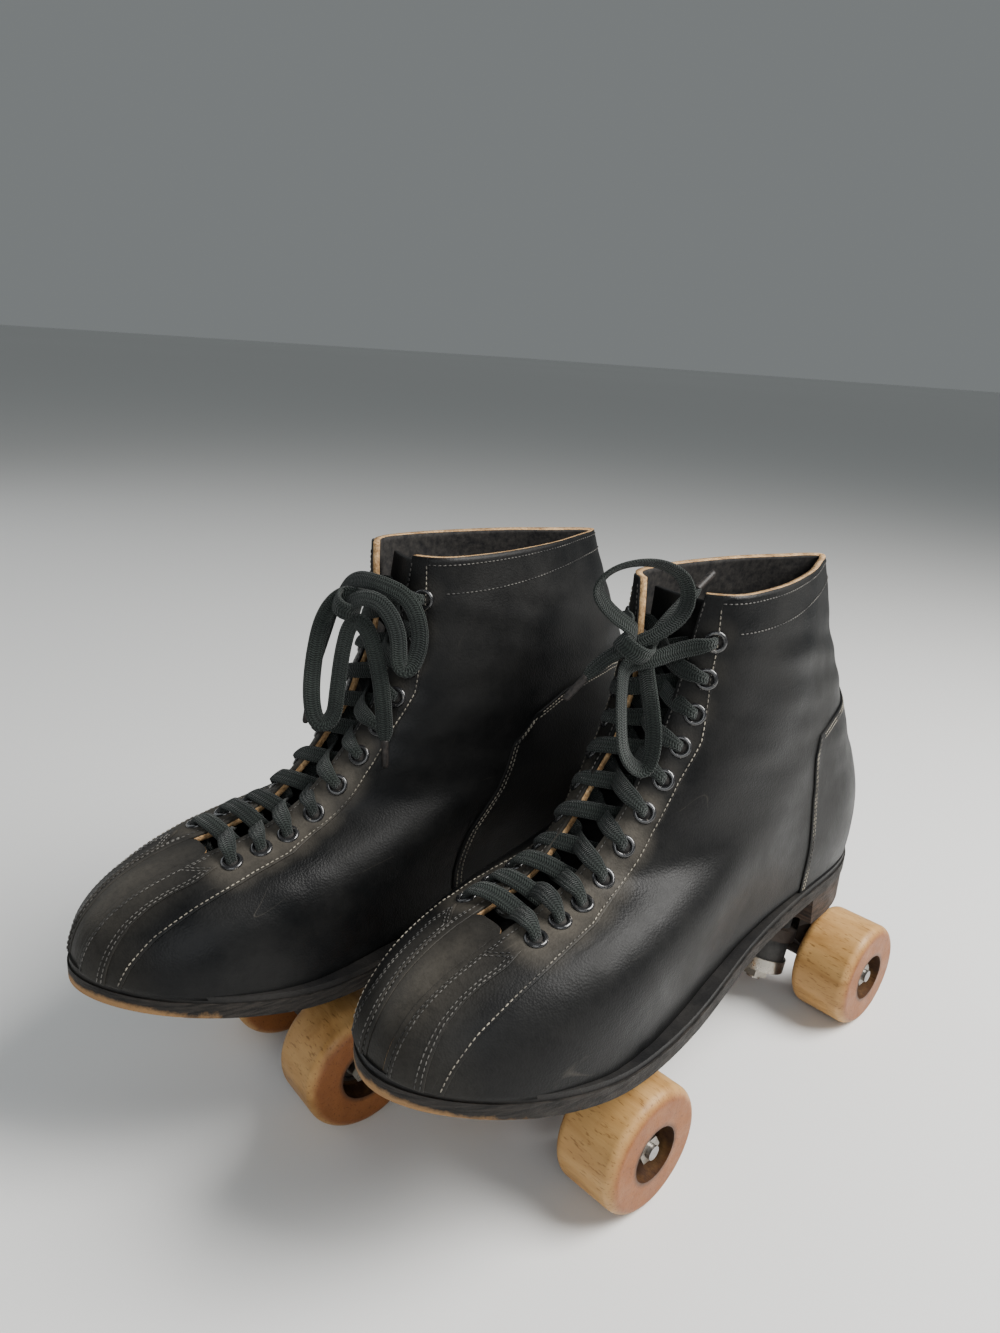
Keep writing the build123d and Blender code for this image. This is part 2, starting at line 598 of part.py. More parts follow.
def write(name, shape):
    """Writes one node's solids."""
    solids = shape.solids()
    whole = solids[0] if len(solids) == 1 else Compound(children=solids)
    export_step(whole, f"parts/{name}.step")


def main():
    os.makedirs("parts", exist_ok=True)
    shared = skate_parts()
    left_lace, left_aglets = make_lace((LEFT_BOW_MEDIAL, LEFT_BOW_LATERAL), "left lace")
    right_lace, right_aglets = make_lace((RIGHT_BOW_MEDIAL, RIGHT_BOW_LATERAL), "right lace")
    left = dict(shared, lace=left_lace, lace_aglets=left_aglets)
    right = dict(shared, lace=right_lace, lace_aglets=right_aglets)
    for name, shape in left.items():
        write(f"left_{name}", Pos(*LEFT_AT, 0) * shape)
    for name, shape in right.items():
        write(f"right_{name}", Pos(*RIGHT_AT, 0) * Rot(0, 0, RIGHT_TURN) * mirror(shape, about=Plane.YZ))


main()
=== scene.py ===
import math

import bmesh
import bpy
import numpy as np
from mathutils import Matrix, Vector, noise


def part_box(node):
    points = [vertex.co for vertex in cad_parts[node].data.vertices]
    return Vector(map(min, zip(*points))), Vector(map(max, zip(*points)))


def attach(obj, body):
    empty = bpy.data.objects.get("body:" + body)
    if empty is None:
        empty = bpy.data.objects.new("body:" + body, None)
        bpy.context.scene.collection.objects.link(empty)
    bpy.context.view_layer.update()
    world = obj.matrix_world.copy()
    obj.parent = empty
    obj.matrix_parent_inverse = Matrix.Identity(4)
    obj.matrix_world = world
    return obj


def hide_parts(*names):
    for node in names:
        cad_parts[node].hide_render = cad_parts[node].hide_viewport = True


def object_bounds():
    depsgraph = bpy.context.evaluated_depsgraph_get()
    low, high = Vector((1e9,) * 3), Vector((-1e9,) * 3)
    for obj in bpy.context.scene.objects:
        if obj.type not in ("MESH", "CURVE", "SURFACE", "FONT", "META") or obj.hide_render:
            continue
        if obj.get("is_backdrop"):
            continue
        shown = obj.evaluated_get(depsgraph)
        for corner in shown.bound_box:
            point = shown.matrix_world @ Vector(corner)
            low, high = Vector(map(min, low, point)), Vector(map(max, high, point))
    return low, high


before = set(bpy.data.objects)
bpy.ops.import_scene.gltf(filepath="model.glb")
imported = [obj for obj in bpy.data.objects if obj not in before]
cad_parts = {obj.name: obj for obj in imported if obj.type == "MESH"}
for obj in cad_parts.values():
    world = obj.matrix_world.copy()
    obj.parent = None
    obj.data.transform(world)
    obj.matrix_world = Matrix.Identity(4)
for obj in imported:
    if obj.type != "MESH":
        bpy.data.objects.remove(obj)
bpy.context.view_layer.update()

MM = 0.001

# ---------------------------------------------------------------- where the two skates stand
# Each skate is described in its own frame: origin on the floor midway between the axles, toe to -Y,
# lateral side to +X. The right skate is the mirror image of the left one, toed out a little.


def middle_of(node):
    low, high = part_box(node)
    return (low + high) / 2


homes = {}
for side, hand in (("left", 1), ("right", -1)):
    front, rear = middle_of(side + "_front_axle"), middle_of(side + "_rear_axle")
    heelward = (rear - front).normalized()
    outward = Vector((heelward.y, -heelward.x, 0)) * hand
    spot = (front + rear) / 2
    homes[side] = Matrix((
        (outward.x, heelward.x, 0, spot.x),
        (outward.y, heelward.y, 0, spot.y),
        (0, 0, 1, 0),
        (0, 0, 0, 1),
    ))

# ---------------------------------------------------------------- camera, floor and soft light
# A plain pale floor with a large soft light high on the right, a weaker one from the left and a
# pale surround. The camera looks down on the toes from the left skate's outer side.
CAMERA_SPOT = Vector((223.985, -375.685, 339.149)) * MM
CAMERA_FORWARD = Vector((-0.67277, 0.67240, -0.30864)).normalized()
CAMERA_ROLL = math.radians(3.897)
CAMERA_LENS = 26.094

level = CAMERA_FORWARD.cross(Vector((0, 0, 1))).normalized()
upward = level.cross(CAMERA_FORWARD)
to_right = level * math.cos(CAMERA_ROLL) + upward * math.sin(CAMERA_ROLL)
to_top = upward * math.cos(CAMERA_ROLL) - level * math.sin(CAMERA_ROLL)
camera_data = bpy.data.cameras.new("camera")
camera_data.lens = CAMERA_LENS
camera_data.clip_start = 0.01
camera = bpy.data.objects.new("camera", camera_data)
turn = Matrix((to_right, to_top, -CAMERA_FORWARD)).transposed().to_4x4()
camera.matrix_world = Matrix.Translation(homes["left"] @ CAMERA_SPOT) @ turn
bpy.context.scene.collection.objects.link(camera)
bpy.context.scene.camera = camera

for name, spot, target, size, power, tint in (
    ("key_light", (0.75, 0.55, 1.15), (0, 0, 0.10), 0.8, 46, (1.0, 0.98, 0.95)),
    ("side_light", (0.9, -0.9, 0.75), (0, 0, 0.12), 0.9, 7, (0.96, 0.98, 1.0)),
    ("fill_light", (-1.3, -0.7, 1.0), (0, 0, 0.10), 1.6, 9, (0.94, 0.97, 1.0)),
):
    lamp = bpy.data.lights.new(name, "AREA")
    lamp.size, lamp.energy, lamp.color = size, power, tint
    lamp_object = bpy.data.objects.new(name, lamp)
    aim = (Vector(target) - Vector(spot)).to_track_quat("-Z", "Y")
    lamp_object.matrix_world = Matrix.Translation(spot) @ aim.to_matrix().to_4x4()
    bpy.context.scene.collection.objects.link(lamp_object)

surround = bpy.data.worlds.new("surround")
surround.use_nodes = True
surround.node_tree.nodes["Background"].inputs["Color"].default_value = (0.70, 0.75, 0.76, 1)
surround.node_tree.nodes["Background"].inputs["Strength"].default_value = 0.27
bpy.context.scene.world = surround


def new_material(name, **values):
    """A Principled material with the given socket values, its node tree and its shader."""
    material = bpy.data.materials.new(name)
    material.use_nodes = True
    shader = material.node_tree.nodes["Principled BSDF"]
    for socket, value in values.items():
        shader.inputs[socket.replace("_", " ")].default_value = value
    return material, material.node_tree, shader


def add_node(tree, kind, links=(), **values):
    """A node with property and socket values, its inputs fed from the (socket, source) links."""
    node = tree.nodes.new(kind)
    for key, value in values.items():
        if hasattr(node, key):
            setattr(node, key, value)
        else:
            node.inputs[key.replace("_", " ")].default_value = value
    for socket, source in links:
        tree.links.new(source, node.inputs[socket])
    return node


def noise_on(tree, place, scale, detail=2.0, roughness=0.5, distortion=0.0):
    """The value of a noise of the given scale, read at a place."""
    return add_node(tree, "ShaderNodeTexNoise", [("Vector", place)], Scale=scale, Detail=detail,
                    Roughness=roughness, Distortion=distortion).outputs["Fac"]


def spread(tree, value, taken, given=(0.0, 1.0)):
    """A value whose taken range is spread over the given range, and held at its ends."""
    return add_node(tree, "ShaderNodeMapRange", [("Value", value)], From_Min=taken[0], From_Max=taken[1],
                    To_Min=given[0], To_Max=given[1]).outputs["Result"]


floor_material, tree, shader = new_material("pale_floor", Roughness=0.62)
grit = add_node(tree, "ShaderNodeTexNoise", Scale=6.0, Detail=6.0)
tone = add_node(tree, "ShaderNodeMix", [("Factor", grit.outputs["Fac"])], data_type="RGBA")
tone.inputs["A"].default_value = (0.72, 0.72, 0.71, 1)
tone.inputs["B"].default_value = (0.80, 0.80, 0.79, 1)
tree.links.new(tone.outputs["Result"], shader.inputs["Base Color"])
ground = bmesh.new()
bmesh.ops.create_grid(ground, x_segments=2, y_segments=2, size=60)
floor_mesh = bpy.data.meshes.new("floor")
ground.to_mesh(floor_mesh)
ground.free()
floor_mesh.materials.append(floor_material)
floor = bpy.data.objects.new("floor", floor_mesh)
bpy.context.scene.collection.objects.link(floor)
floor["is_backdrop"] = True

# ---------------------------------------------------------------- leather upper
# Vintage lace-to-toe ankle boot of thick black leather, pulled over a last. Its outside follows
# eight sections from the feather line to the collar; the cut edges stay raw and tan.
# Each section: back (y, z), front (y, z), then lateral and medial half widths at the stations.
STATIONS = (0.03, 0.12, 0.28, 0.45, 0.62, 0.78, 0.91, 0.98)
SECTIONS = (
    ((118, 76), (-198, 76), (14, 28, 31, 33, 42, 47.5, 40, 22), (14, 27, 29, 30, 38, 46, 41, 23)),
    ((124, 108), (-200, 102), (14, 30, 34, 36, 45, 48, 38, 19), (14, 29, 31, 31, 40, 46, 38, 19)),
    ((124, 128), (-187, 120), (13, 29, 35, 38, 45, 45, 33, 15), (13, 29, 32, 34, 42, 42, 31, 14)),
    ((116, 150), (-160, 131), (11, 26, 34, 38, 40, 36, 25, 11), (11, 26, 33, 36, 39, 33, 22, 10)),
    ((103, 174), (-124, 139), (9, 22, 32, 37, 36, 30, 20, 10), (9, 22, 32, 36, 35, 29, 19, 10)),
    ((91, 199), (-90, 165), (6, 17, 28, 35, 36, 32, 23, 12), (6, 17, 28, 35, 36, 32, 23, 12)),
    ((77, 227), (-65, 205), (5, 13, 23, 30, 33, 32, 26, 14), (5, 13, 23, 30, 33, 32, 26, 14)),
    ((65, 256), (-60, 254), (4, 9, 17, 23, 27, 28, 25, 14), (4, 9, 17, 23, 27, 28, 25, 14)),
)
FEATHER = ((-215, 98.5), (-190, 95), (-166, 91), (-140, 85.6), (-117, 81.4), (-94, 80.1), (-60, 80.1),
           (-20, 83.5), (20, 91), (50, 95.5), (90, 97), (140, 97))
THROAT = ((130.6, 7.9), (136, 8.0), (150, 9), (190, 10), (232, 13), (270, 19))
THROAT_END_Z, THROAT_ARC_Z = 128.6, 130.6
LEATHER = 3.0
SKIN_ROWS, SKIN_COLUMNS = 181, 241


def curve_through(knots, points, at, closed=False):
    """Smooth cubic curve through points at the given knots, read at other values."""
    knots, points, at = np.asarray(knots, float), np.asarray(points, float), np.asarray(at, float)
    gaps, count = np.diff(knots), len(knots)
    slopes = np.diff(points, axis=0) / gaps.reshape((-1,) + (1,) * (points.ndim - 1))
    matrix, right = np.zeros((count, count)), np.zeros(points.shape)
    for i in range(1, count - 1):
        matrix[i, i - 1:i + 2] = gaps[i - 1], 2 * (gaps[i - 1] + gaps[i]), gaps[i]
        right[i] = 6 * (slopes[i] - slopes[i - 1])
    matrix[0, 0] = matrix[-1, -1] = 1
    if closed:
        matrix[0, -1] = -1
        matrix[-1, :2] = 2 * gaps[0], gaps[0]
        matrix[-1, -2:] = gaps[-1], 2 * gaps[-1]
        right[-1] = 6 * (slopes[0] - slopes[-1])
    bends = np.linalg.solve(matrix, right.reshape(count, -1)).reshape(points.shape)
    k = np.clip(np.searchsorted(knots, at, side="right") - 1, 0, count - 2)
    grow = (slice(None),) + (None,) * (points.ndim - 1)
    h, before, after = gaps[k][grow], (at - knots[k])[grow], (knots[k + 1] - at)[grow]
    return ((bends[k] * after ** 3 + bends[k + 1] * before ** 3) / (6 * h)
            + (points[k] / h - bends[k] * h / 6) * after
            + (points[k + 1] / h - bends[k + 1] * h / 6) * before)


def section_points(section):
    """The 18 points of one section, from its back round the lateral side and back again."""
    back, front, lateral, medial = section
    points = [(0, *back)]
    along = [(back[0] + (front[0] - back[0]) * s, back[1] + (front[1] - back[1]) * s) for s in STATIONS]
    points += [(w, *p) for w, p in zip(lateral, along)]
    points.append((0, *front))
    points += [(-w, *p) for w, p in reversed(list(zip(medial, along)))]
    return points


def steps_along(points):
    """Distances along a row of points, starting at 0."""
    return np.concatenate([[0], np.cumsum(np.linalg.norm(np.diff(points, axis=0), axis=1))])


def read_row(at, knots, row):
    """Points of a row, known at the knots, read between them."""
    return np.stack([np.interp(at, knots, row[:, k]) for k in range(3)], -1)


def normals_of(places):
    """Outward unit normals of a closed skin table."""
    across = np.gradient(places, axis=1)
    across[:, 0] = across[:, -1] = (places[:, 1] - places[:, -2]) / 2
    up = np.gradient(places, axis=0)
    normals = np.cross(across, up)
    normals /= np.linalg.norm(normals, axis=2, keepdims=True)
    return -normals if normals[SKIN_ROWS // 2, SKIN_COLUMNS // 4, 0] < 0 else normals


def make_skin(seed):
    """Table of the boot's outside, in millimetres, with the soft dents of worn leather."""
    rows = np.array([section_points(s) for s in SECTIONS], float)
    gaps = np.linalg.norm(np.diff(rows, axis=0), axis=2).mean(axis=1)
    knots = np.concatenate([[0], np.cumsum(gaps)])
    rings = curve_through(knots / knots[-1], rows, np.linspace(0, 1, SKIN_ROWS))
    table = []
    half = SKIN_COLUMNS // 2
    for ring in rings:
        ring = np.vstack([ring, ring[:1]])
        length = steps_along(ring)
        front_at = length[len(STATIONS) + 1]
        lateral_at = np.linspace(0, front_at, half + 1)
        at = np.concatenate([lateral_at, np.linspace(front_at, length[-1], half + 1)[1:]])
        table.append(curve_through(length, ring, at, closed=True))
    places = np.array(table)
    normals = normals_of(places)
    dents = np.zeros(places.shape[:2])
    for j in range(0, SKIN_ROWS, 2):
        for i in range(0, SKIN_COLUMNS, 2):
            x, y, z = places[j, i % (SKIN_COLUMNS - 1)]
            soft = noise.noise(Vector((x / 34 + seed, y / 34, z / 26)))
            folds = noise.noise(Vector((x / 30, y / 46 + seed, z / 11 + y / 60)))
            shaft = min(1, max(0, (z - 135) / 35)) * (1 - min(1, max(0, (z - 232) / 20)))
            waist = max(0, 1 - ((y + 118) / 34) ** 2) * min(1, max(0, (150 - z) / 25))
            ripple = noise.noise(Vector((x / 26 + seed, y / 7 + z / 9, z / 30)))
            dents[j, i] = 0.9 * soft * (0.35 + 0.65 * shaft) + 1.1 * folds * shaft + 0.8 * ripple * waist
    dents[:, 1::2] = (dents[:, 0:-1:2] + dents[:, 2::2]) / 2
    dents[1::2] = (dents[0:-1:2] + dents[2::2]) / 2
    places = places + normals * dents[..., None]
    return places, normals_of(places)


skins = {"left": make_skin(3.7), "right": make_skin(21.3)}


def read_table(table, u, v):
    """Value of a skin table between its entries; u runs round the boot and wraps, v runs up it."""
    x = np.mod(u, 1.0) * (table.shape[1] - 1)
    y = np.clip(v, 0, 1) * (table.shape[0] - 1)
    i = np.minimum(x.astype(int), table.shape[1] - 2)
    j = np.minimum(y.astype(int), table.shape[0] - 2)
    fx, fy = (x - i)[..., None], (y - j)[..., None]
    low = table[j, i] * (1 - fx) + table[j, i + 1] * fx
    high = table[j + 1, i] * (1 - fx) + table[j + 1, i + 1] * fx
    return low * (1 - fy) + high * fy


def on_skin(side, u, v, out=0.0):
    """Points on the boot's outside, raised by out, and the outward normals there."""
    places, normals = skins[side]
    normal = read_table(normals, u, v)
    normal /= np.linalg.norm(normal, axis=-1, keepdims=True)
    return read_table(places, u, v) + normal * out, normal


def nearest_on_skin(side, points):
    """(u, v) of the skin points nearest to the given points."""
    places = skins[side][0]
    found = []
    for point in np.asarray(points, float):
        gap = np.linalg.norm(places - point, axis=2)
        j, i = np.unravel_index(np.argmin(gap), gap.shape)
        u, v = i / (SKIN_COLUMNS - 1), j / (SKIN_ROWS - 1)
        for _ in range(3):
            du, dv = 0.5 / (SKIN_COLUMNS - 1), 0.5 / (SKIN_ROWS - 1)
            here = read_table(places, np.array(u), np.array(v))
            along_u = (read_table(places, np.array(u + du), np.array(v)) - here) / du
            along_v = (read_table(places, np.array(u), np.array(min(v + dv, 1))) - here) / dv
            if v + dv > 1:
                along_v = (here - read_table(places, np.array(u), np.array(v - dv))) / dv
            shift = np.linalg.lstsq(np.stack([along_u, along_v], 1), point - here, rcond=None)[0]
            u, v = u + np.clip(shift[0], -0.01, 0.01), min(1, max(0, v + np.clip(shift[1], -0.01, 0.01)))
        found.append((u, v))
    return np.array(found)


def bottom_of(side, u):
    """v where the skin meets the feather line, for each u."""
    u = np.asarray(u, float)
    count = 60
    levels = np.linspace(0, 0.45, count)
    places = read_table(skins[side][0], np.repeat(u[..., None], count, -1),
                        np.broadcast_to(levels, u.shape + (count,)))
    line = np.array(FEATHER, float)
    over = places[..., 2] - np.interp(places[..., 1], line[:, 0], line[:, 1]) + 0.6
    k = np.clip(np.argmax(over > 0, axis=-1), 1, count - 1)
    high = np.take_along_axis(over, k[..., None], -1)[..., 0]
    low = np.take_along_axis(over, k[..., None] - 1, -1)[..., 0]
    return levels[k - 1] + (levels[k] - levels[k - 1]) * (-low) / (high - low)


def throat_half_width(z):
    """Half width of the opening between the facings at a height."""
    line = np.array(THROAT, float)
    dense = np.linspace(THROAT_ARC_Z, line[-1, 0], 60)
    width = np.interp(z, dense, curve_through(line[:, 0], line[:, 1], dense))
    reach = line[0, 1]
    rise = THROAT_ARC_Z - THROAT_END_Z
    radius = (reach ** 2 + rise ** 2) / (2 * rise)
    arc = np.sqrt(np.maximum(0, radius ** 2 - (THROAT_END_Z + radius - z) ** 2))
    return np.where(z < THROAT_END_Z, 0.0, np.where(z < THROAT_ARC_Z, arc, width))


def front_edge(side, v, half_width, hand):
    """u where the skin's front comes within the half width of the middle, at each v."""
    count = 160
    u = np.linspace(0.30, 0.5, count) if hand > 0 else np.linspace(0.70, 0.5, count)
    places = read_table(skins[side][0], np.broadcast_to(u, v.shape + (count,)),
                        np.repeat(v[..., None], count, -1))
    room = places[..., 0] * hand - half_width(places[..., 2])
    inside = room <= 0
    inside[..., -1] = True
    k = np.clip(np.argmax(inside, axis=-1), 1, count - 1)
    before = np.take_along_axis(room, k[..., None] - 1, -1)[..., 0]
    after = np.take_along_axis(room, k[..., None], -1)[..., 0]
    share = np.clip(before / np.maximum(before - after, 1e-9), 0, 1)
    return u[k - 1] + (u[k] - u[k - 1]) * share


def sheet_mesh(columns, rows, place, wear=None):
    """A grid laid on the boot by place(s, r), which gives points and outward normals."""
    bm = bmesh.new()
    bmesh.ops.create_grid(bm, x_segments=columns, y_segments=rows, size=0.5)
    at = np.array([v.co[:2] for v in bm.verts]) + 0.5
    spots, outward_there = place(at[:, 0], at[:, 1])
    for vert, spot in zip(bm.verts, spots):
        vert.co = spot * MM
    bm.normal_update()
    facing_out = sum(v.normal.dot(Vector(n)) for v, n in zip(bm.verts, outward_there))
    if facing_out < 0:
        bmesh.ops.reverse_faces(bm, faces=bm.faces)
    if wear is not None:
        layer = bm.verts.layers.float.new("wear")
        for vert, value in zip(bm.verts, wear(spots)):
            vert[layer] = value
    bmesh.ops.remove_doubles(bm, verts=bm.verts, dist=2e-5)
    bmesh.ops.dissolve_degenerate(bm, edges=bm.edges, dist=1e-6)
    return bm


def set_down(name, bm, side, materials):
    """Turns a bmesh in skate coordinates into a piece that rides on its skate's boot."""
    mesh = bpy.data.meshes.new(name)
    bm.to_mesh(mesh)
    bm.free()
    mesh.transform(homes[side])
    if homes[side].determinant() < 0:
        mesh.flip_normals()
    mesh.polygons.foreach_set("use_smooth", [True] * len(mesh.polygons))
    for material in materials:
        mesh.materials.append(material)
    piece = bpy.data.objects.new(name, mesh)
    bpy.context.scene.collection.objects.link(piece)
    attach(piece, side + "_boot")
    return piece


def give_wall(piece, thickness, inner=0, rim=0, bevel=0.0):
    """Gives a sheet its thickness inwards, with its own material inside and on the cut edge."""
    wall = piece.modifiers.new("wall", "SOLIDIFY")
    wall.thickness, wall.offset, wall.use_even_offset = thickness * MM, -1, False
    wall.use_quality_normals = True
    wall.material_offset, wall.material_offset_rim = inner, rim
    if bevel:
        edge = piece.modifiers.new("edge", "BEVEL")
        edge.width, edge.segments = bevel * MM, 2
        edge.limit_method, edge.angle_limit = "ANGLE", math.radians(50)


def effect_group(name, inputs, outputs):
    """An empty node group with its sockets, given as name, type and first value."""
    group = bpy.data.node_groups.new(name, "ShaderNodeTree")
    for label, kind, value in inputs:
        socket = group.interface.new_socket(label, in_out="INPUT", socket_type=kind)
        if value is not None:
            socket.default_value = value
    for label, kind in outputs:
        group.interface.new_socket(label, in_out="OUTPUT", socket_type=kind)
    return group, group.nodes.new("NodeGroupInput"), group.nodes.new("NodeGroupOutput")


def calculate(tree, operation, first, second=0.0, third=0.5, clamp=False):
    """One step of arithmetic on values or sockets; third is what MULTIPLY_ADD adds."""
    node = add_node(tree, "ShaderNodeMath", operation=operation, use_clamp=clamp)
    for k, value in enumerate((first, second, third)):
        if isinstance(value, (float, int)):
            node.inputs[k].default_value = value
        else:
            tree.links.new(value, node.inputs[k])
    return node.outputs[0]


# Leather grain: pebbled cells with fine wrinkles across them, and slow patches of tone.
grain_group, group_in, group_out = effect_group(
    "leather_grain",
    (("Place", "NodeSocketVector", None), ("Cells", "NodeSocketFloat", 1100.0),
     ("Wrinkles", "NodeSocketFloat", 480.0)),
    (("Height", "NodeSocketFloat"), ("Patches", "NodeSocketFloat"), ("Fine", "NodeSocketFloat"),
     ("Scratches", "NodeSocketFloat")),
)
place = group_in.outputs["Place"]
cells = add_node(grain_group, "ShaderNodeTexVoronoi",
                 [("Vector", place), ("Scale", group_in.outputs["Cells"])])
wrinkles = add_node(grain_group, "ShaderNodeTexNoise",
                    [("Vector", place), ("Scale", group_in.outputs["Wrinkles"])], Detail=7.0, Roughness=0.62)
patches = noise_on(grain_group, place, 24.0, 5.0, 0.6)
pile = calculate(grain_group, "ADD", cells.outputs["Distance"], wrinkles.outputs["Fac"])
grain_group.links.new(pile, group_out.inputs["Height"])
grain_group.links.new(patches, group_out.inputs["Patches"])
grain_group.links.new(wrinkles.outputs["Fac"], group_out.inputs["Fine"])
# Scratches: thin bands where a stretched noise crosses its middle, kept only in a few places.
drawn = add_node(grain_group, "ShaderNodeMapping", [("Vector", place)], Scale=(1.0, 0.07, 0.25),
                 Rotation=(0.5, 0.3, 0.6))
strokes = noise_on(grain_group, drawn.outputs["Vector"], 130.0, 0.5)
apart = calculate(grain_group, "ABSOLUTE", calculate(grain_group, "SUBTRACT", strokes, 0.5))
thin = spread(grain_group, apart, (0.0, 0.005), (1.0, 0.0))
few = noise_on(grain_group, place, 31.0, 3.0)
few_only = spread(grain_group, few, (0.60, 0.68))
grain_group.links.new(calculate(grain_group, "MULTIPLY", thin, few_only), group_out.inputs["Scratches"])


def ramp(tree, source, *stops):
    """A colour ramp fed by a value, its stops given as (position, colour)."""
    node = tree.nodes.new("ShaderNodeValToRGB")
    elements = node.color_ramp.elements
    while len(elements) < len(stops):
        elements.new(0.5)
    for element, (position, colour) in zip(elements, stops):
        element.position = position
        element.color = (*colour, 1) if len(colour) == 3 else colour
    tree.links.new(source, node.inputs["Fac"])
    return node.outputs["Color"]


def mix_colour(tree, factor, first, second, blend="MIX"):
    """Mixes two colours, each a value or a socket."""
    node = add_node(tree, "ShaderNodeMix", data_type="RGBA", blend_type=blend)
    for socket, value in (("Factor", factor), ("A", first), ("B", second)):
        # the node has plain, vector and colour sockets of the same names
        target = [s for s in node.inputs if s.name == socket and (s.type == "RGBA" or socket == "Factor")][0]
        if isinstance(value, (tuple, float, int)):
            target.default_value = (*value, 1) if isinstance(value, tuple) else value
        else:
            tree.links.new(value, target)
    return [s for s in node.outputs if s.type == "RGBA"][0]


def use_bump(tree, shader, height, strength, distance):
    """Feeds a height to the shader's normal."""
    bump = add_node(tree, "ShaderNodeBump", [("Height", height)], Strength=strength, Distance=distance)
    tree.links.new(bump.outputs["Normal"], shader.inputs["Normal"])


def object_place(tree):
    return tree.nodes.new("ShaderNodeTexCoord").outputs["Object"]


def make_leather(name, base, patch, worn, rough=(0.34, 0.60), cells=1100.0, bump=0.22):
    """Dyed leather: base and patch tones, worn colour where the wear attribute is high."""
    material, tree, shader = new_material(name, Specular_IOR_Level=0.13, Coat_Weight=0.03,
                                          Coat_Roughness=0.25)
    place = object_place(tree)
    grain = add_node(tree, "ShaderNodeGroup", [("Place", place)], node_tree=grain_group, Cells=cells)
    wear = add_node(tree, "ShaderNodeAttribute", attribute_name="wear")
    scuff = noise_on(tree, place, 85.0, 8.0, 0.7)
    uneven = calculate(tree, "MULTIPLY_ADD", scuff, 2.6, 0.5)
    rubbed = calculate(tree, "MULTIPLY", wear.outputs["Fac"], uneven, clamp=True)
    patchy = ramp(tree, grain.outputs["Patches"], (0.36, (0, 0, 0)), (0.68, (1, 1, 1)))
    dyed = mix_colour(tree, patchy, base, patch)
    colour = mix_colour(tree, rubbed, dyed, worn)
    colour = mix_colour(tree, calculate(tree, "MULTIPLY", grain.outputs["Scratches"], 0.4), colour, worn)
    pores = ramp(tree, grain.outputs["Fine"], (0.30, (0.55, 0.55, 0.55)), (0.55, (1, 1, 1)))
    colour = mix_colour(tree, 0.55, colour, pores, "MULTIPLY")
    tree.links.new(colour, shader.inputs["Base Color"])
    gloss = spread(tree, grain.outputs["Patches"], (0.3, 0.7), rough)
    tree.links.new(calculate(tree, "MULTIPLY_ADD", rubbed, 0.16, gloss), shader.inputs["Roughness"])
    use_bump(tree, shader, grain.outputs["Height"], bump, 0.0004)
    return material


black_leather = make_leather("black_leather", (0.0042, 0.0045, 0.0049), (0.0125, 0.0124, 0.0120),
                             (0.075, 0.067, 0.055))

raw_edge, tree, shader = new_material("raw_leather_edge", Roughness=0.85, Specular_IOR_Level=0.25)
place = object_place(tree)
fibres = noise_on(tree, place, 620.0, 6.0, 0.7)
streaks = noise_on(tree, place, 110.0, 4.0)
tan = ramp(tree, fibres, (0.30, (0.21, 0.115, 0.048)), (0.52, (0.50, 0.32, 0.16)),
           (0.72, (0.68, 0.49, 0.28)))
grime = ramp(tree, streaks, (0.40, (1, 1, 1)), (0.75, (0.42, 0.36, 0.30)))
tree.links.new(mix_colour(tree, 1.0, tan, grime, "MULTIPLY"), shader.inputs["Base Color"])
use_bump(tree, shader, fibres, 0.8, 0.0006)

lining, tree, shader = new_material("boot_lining", Roughness=0.78, Specular_IOR_Level=0.15)
place = object_place(tree)
nap = noise_on(tree, place, 340.0, 6.0, 0.65)
lining_tone = ramp(tree, nap, (0.32, (0.010, 0.010, 0.011)), (0.70, (0.040, 0.037, 0.034)))
tree.links.new(lining_tone, shader.inputs["Base Color"])
use_bump(tree, shader, nap, 0.5, 0.0005)

EYELETS = ((-141, 128), (-128, 131), (-116, 136), (-104, 145), (-93, 155.5), (-82, 167), (-72, 178.5),
           (-63, 191), (-56, 204), (-51, 219), (-49, 235))
EYELET_X = 18.0


def rub_marks(spots):
    """How worn the leather is at each point: round the eyelets, on the toe and along the throat."""
    spots = np.asarray(spots)
    wear = np.zeros(len(spots))
    for y, z in EYELETS:
        for x in (-EYELET_X, EYELET_X):
            reach = 11 if y < -90 else 7
            gap = np.linalg.norm(spots - np.array((x, y, z + 3)), axis=1)
            strength = 0.50 if y < -80 else 0.16
            wear = np.maximum(wear, strength * np.clip(1.45 - gap / reach, 0, 1))
    toe = np.clip((-spots[:, 1] - 138) / 40, 0, 1) * np.clip((spots[:, 2] - 100) / 16, 0, 1)
    ridge = np.clip(1 - np.abs(spots[:, 0]) / 26, 0, 1)
    wear = np.maximum(wear, 0.36 * toe * ridge)
    tip = np.clip((-spots[:, 1] - 178) / 20, 0, 1)
    return np.maximum(wear, 0.14 * tip)


def shell_place(side):
    def place(s, r):
        around = s * 2 - 1
        share = np.abs(around)
        hand = np.where(around >= 0, 1.0, -1.0)
        first = np.where(hand > 0, 0.5 * share, 1 - 0.5 * share)
        start = bottom_of(side, first)
        v = start + (1 - start) * r
        lateral, medial = (front_edge(side, v, throat_half_width, way) for way in (1, -1))
        edge = np.where(hand > 0, lateral, medial)
        bend = share ** 0.92
        u = np.where(hand > 0, edge * bend, 1 - (1 - edge) * bend)
        return on_skin(side, u, v)
    return place


for side in ("left", "right"):
    shell = set_down(side + "_boot_shell", sheet_mesh(220, 96, shell_place(side), rub_marks), side,
                     (black_leather, lining, raw_edge))
    give_wall(shell, LEATHER, inner=1, rim=2)
    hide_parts(side + "_upper")

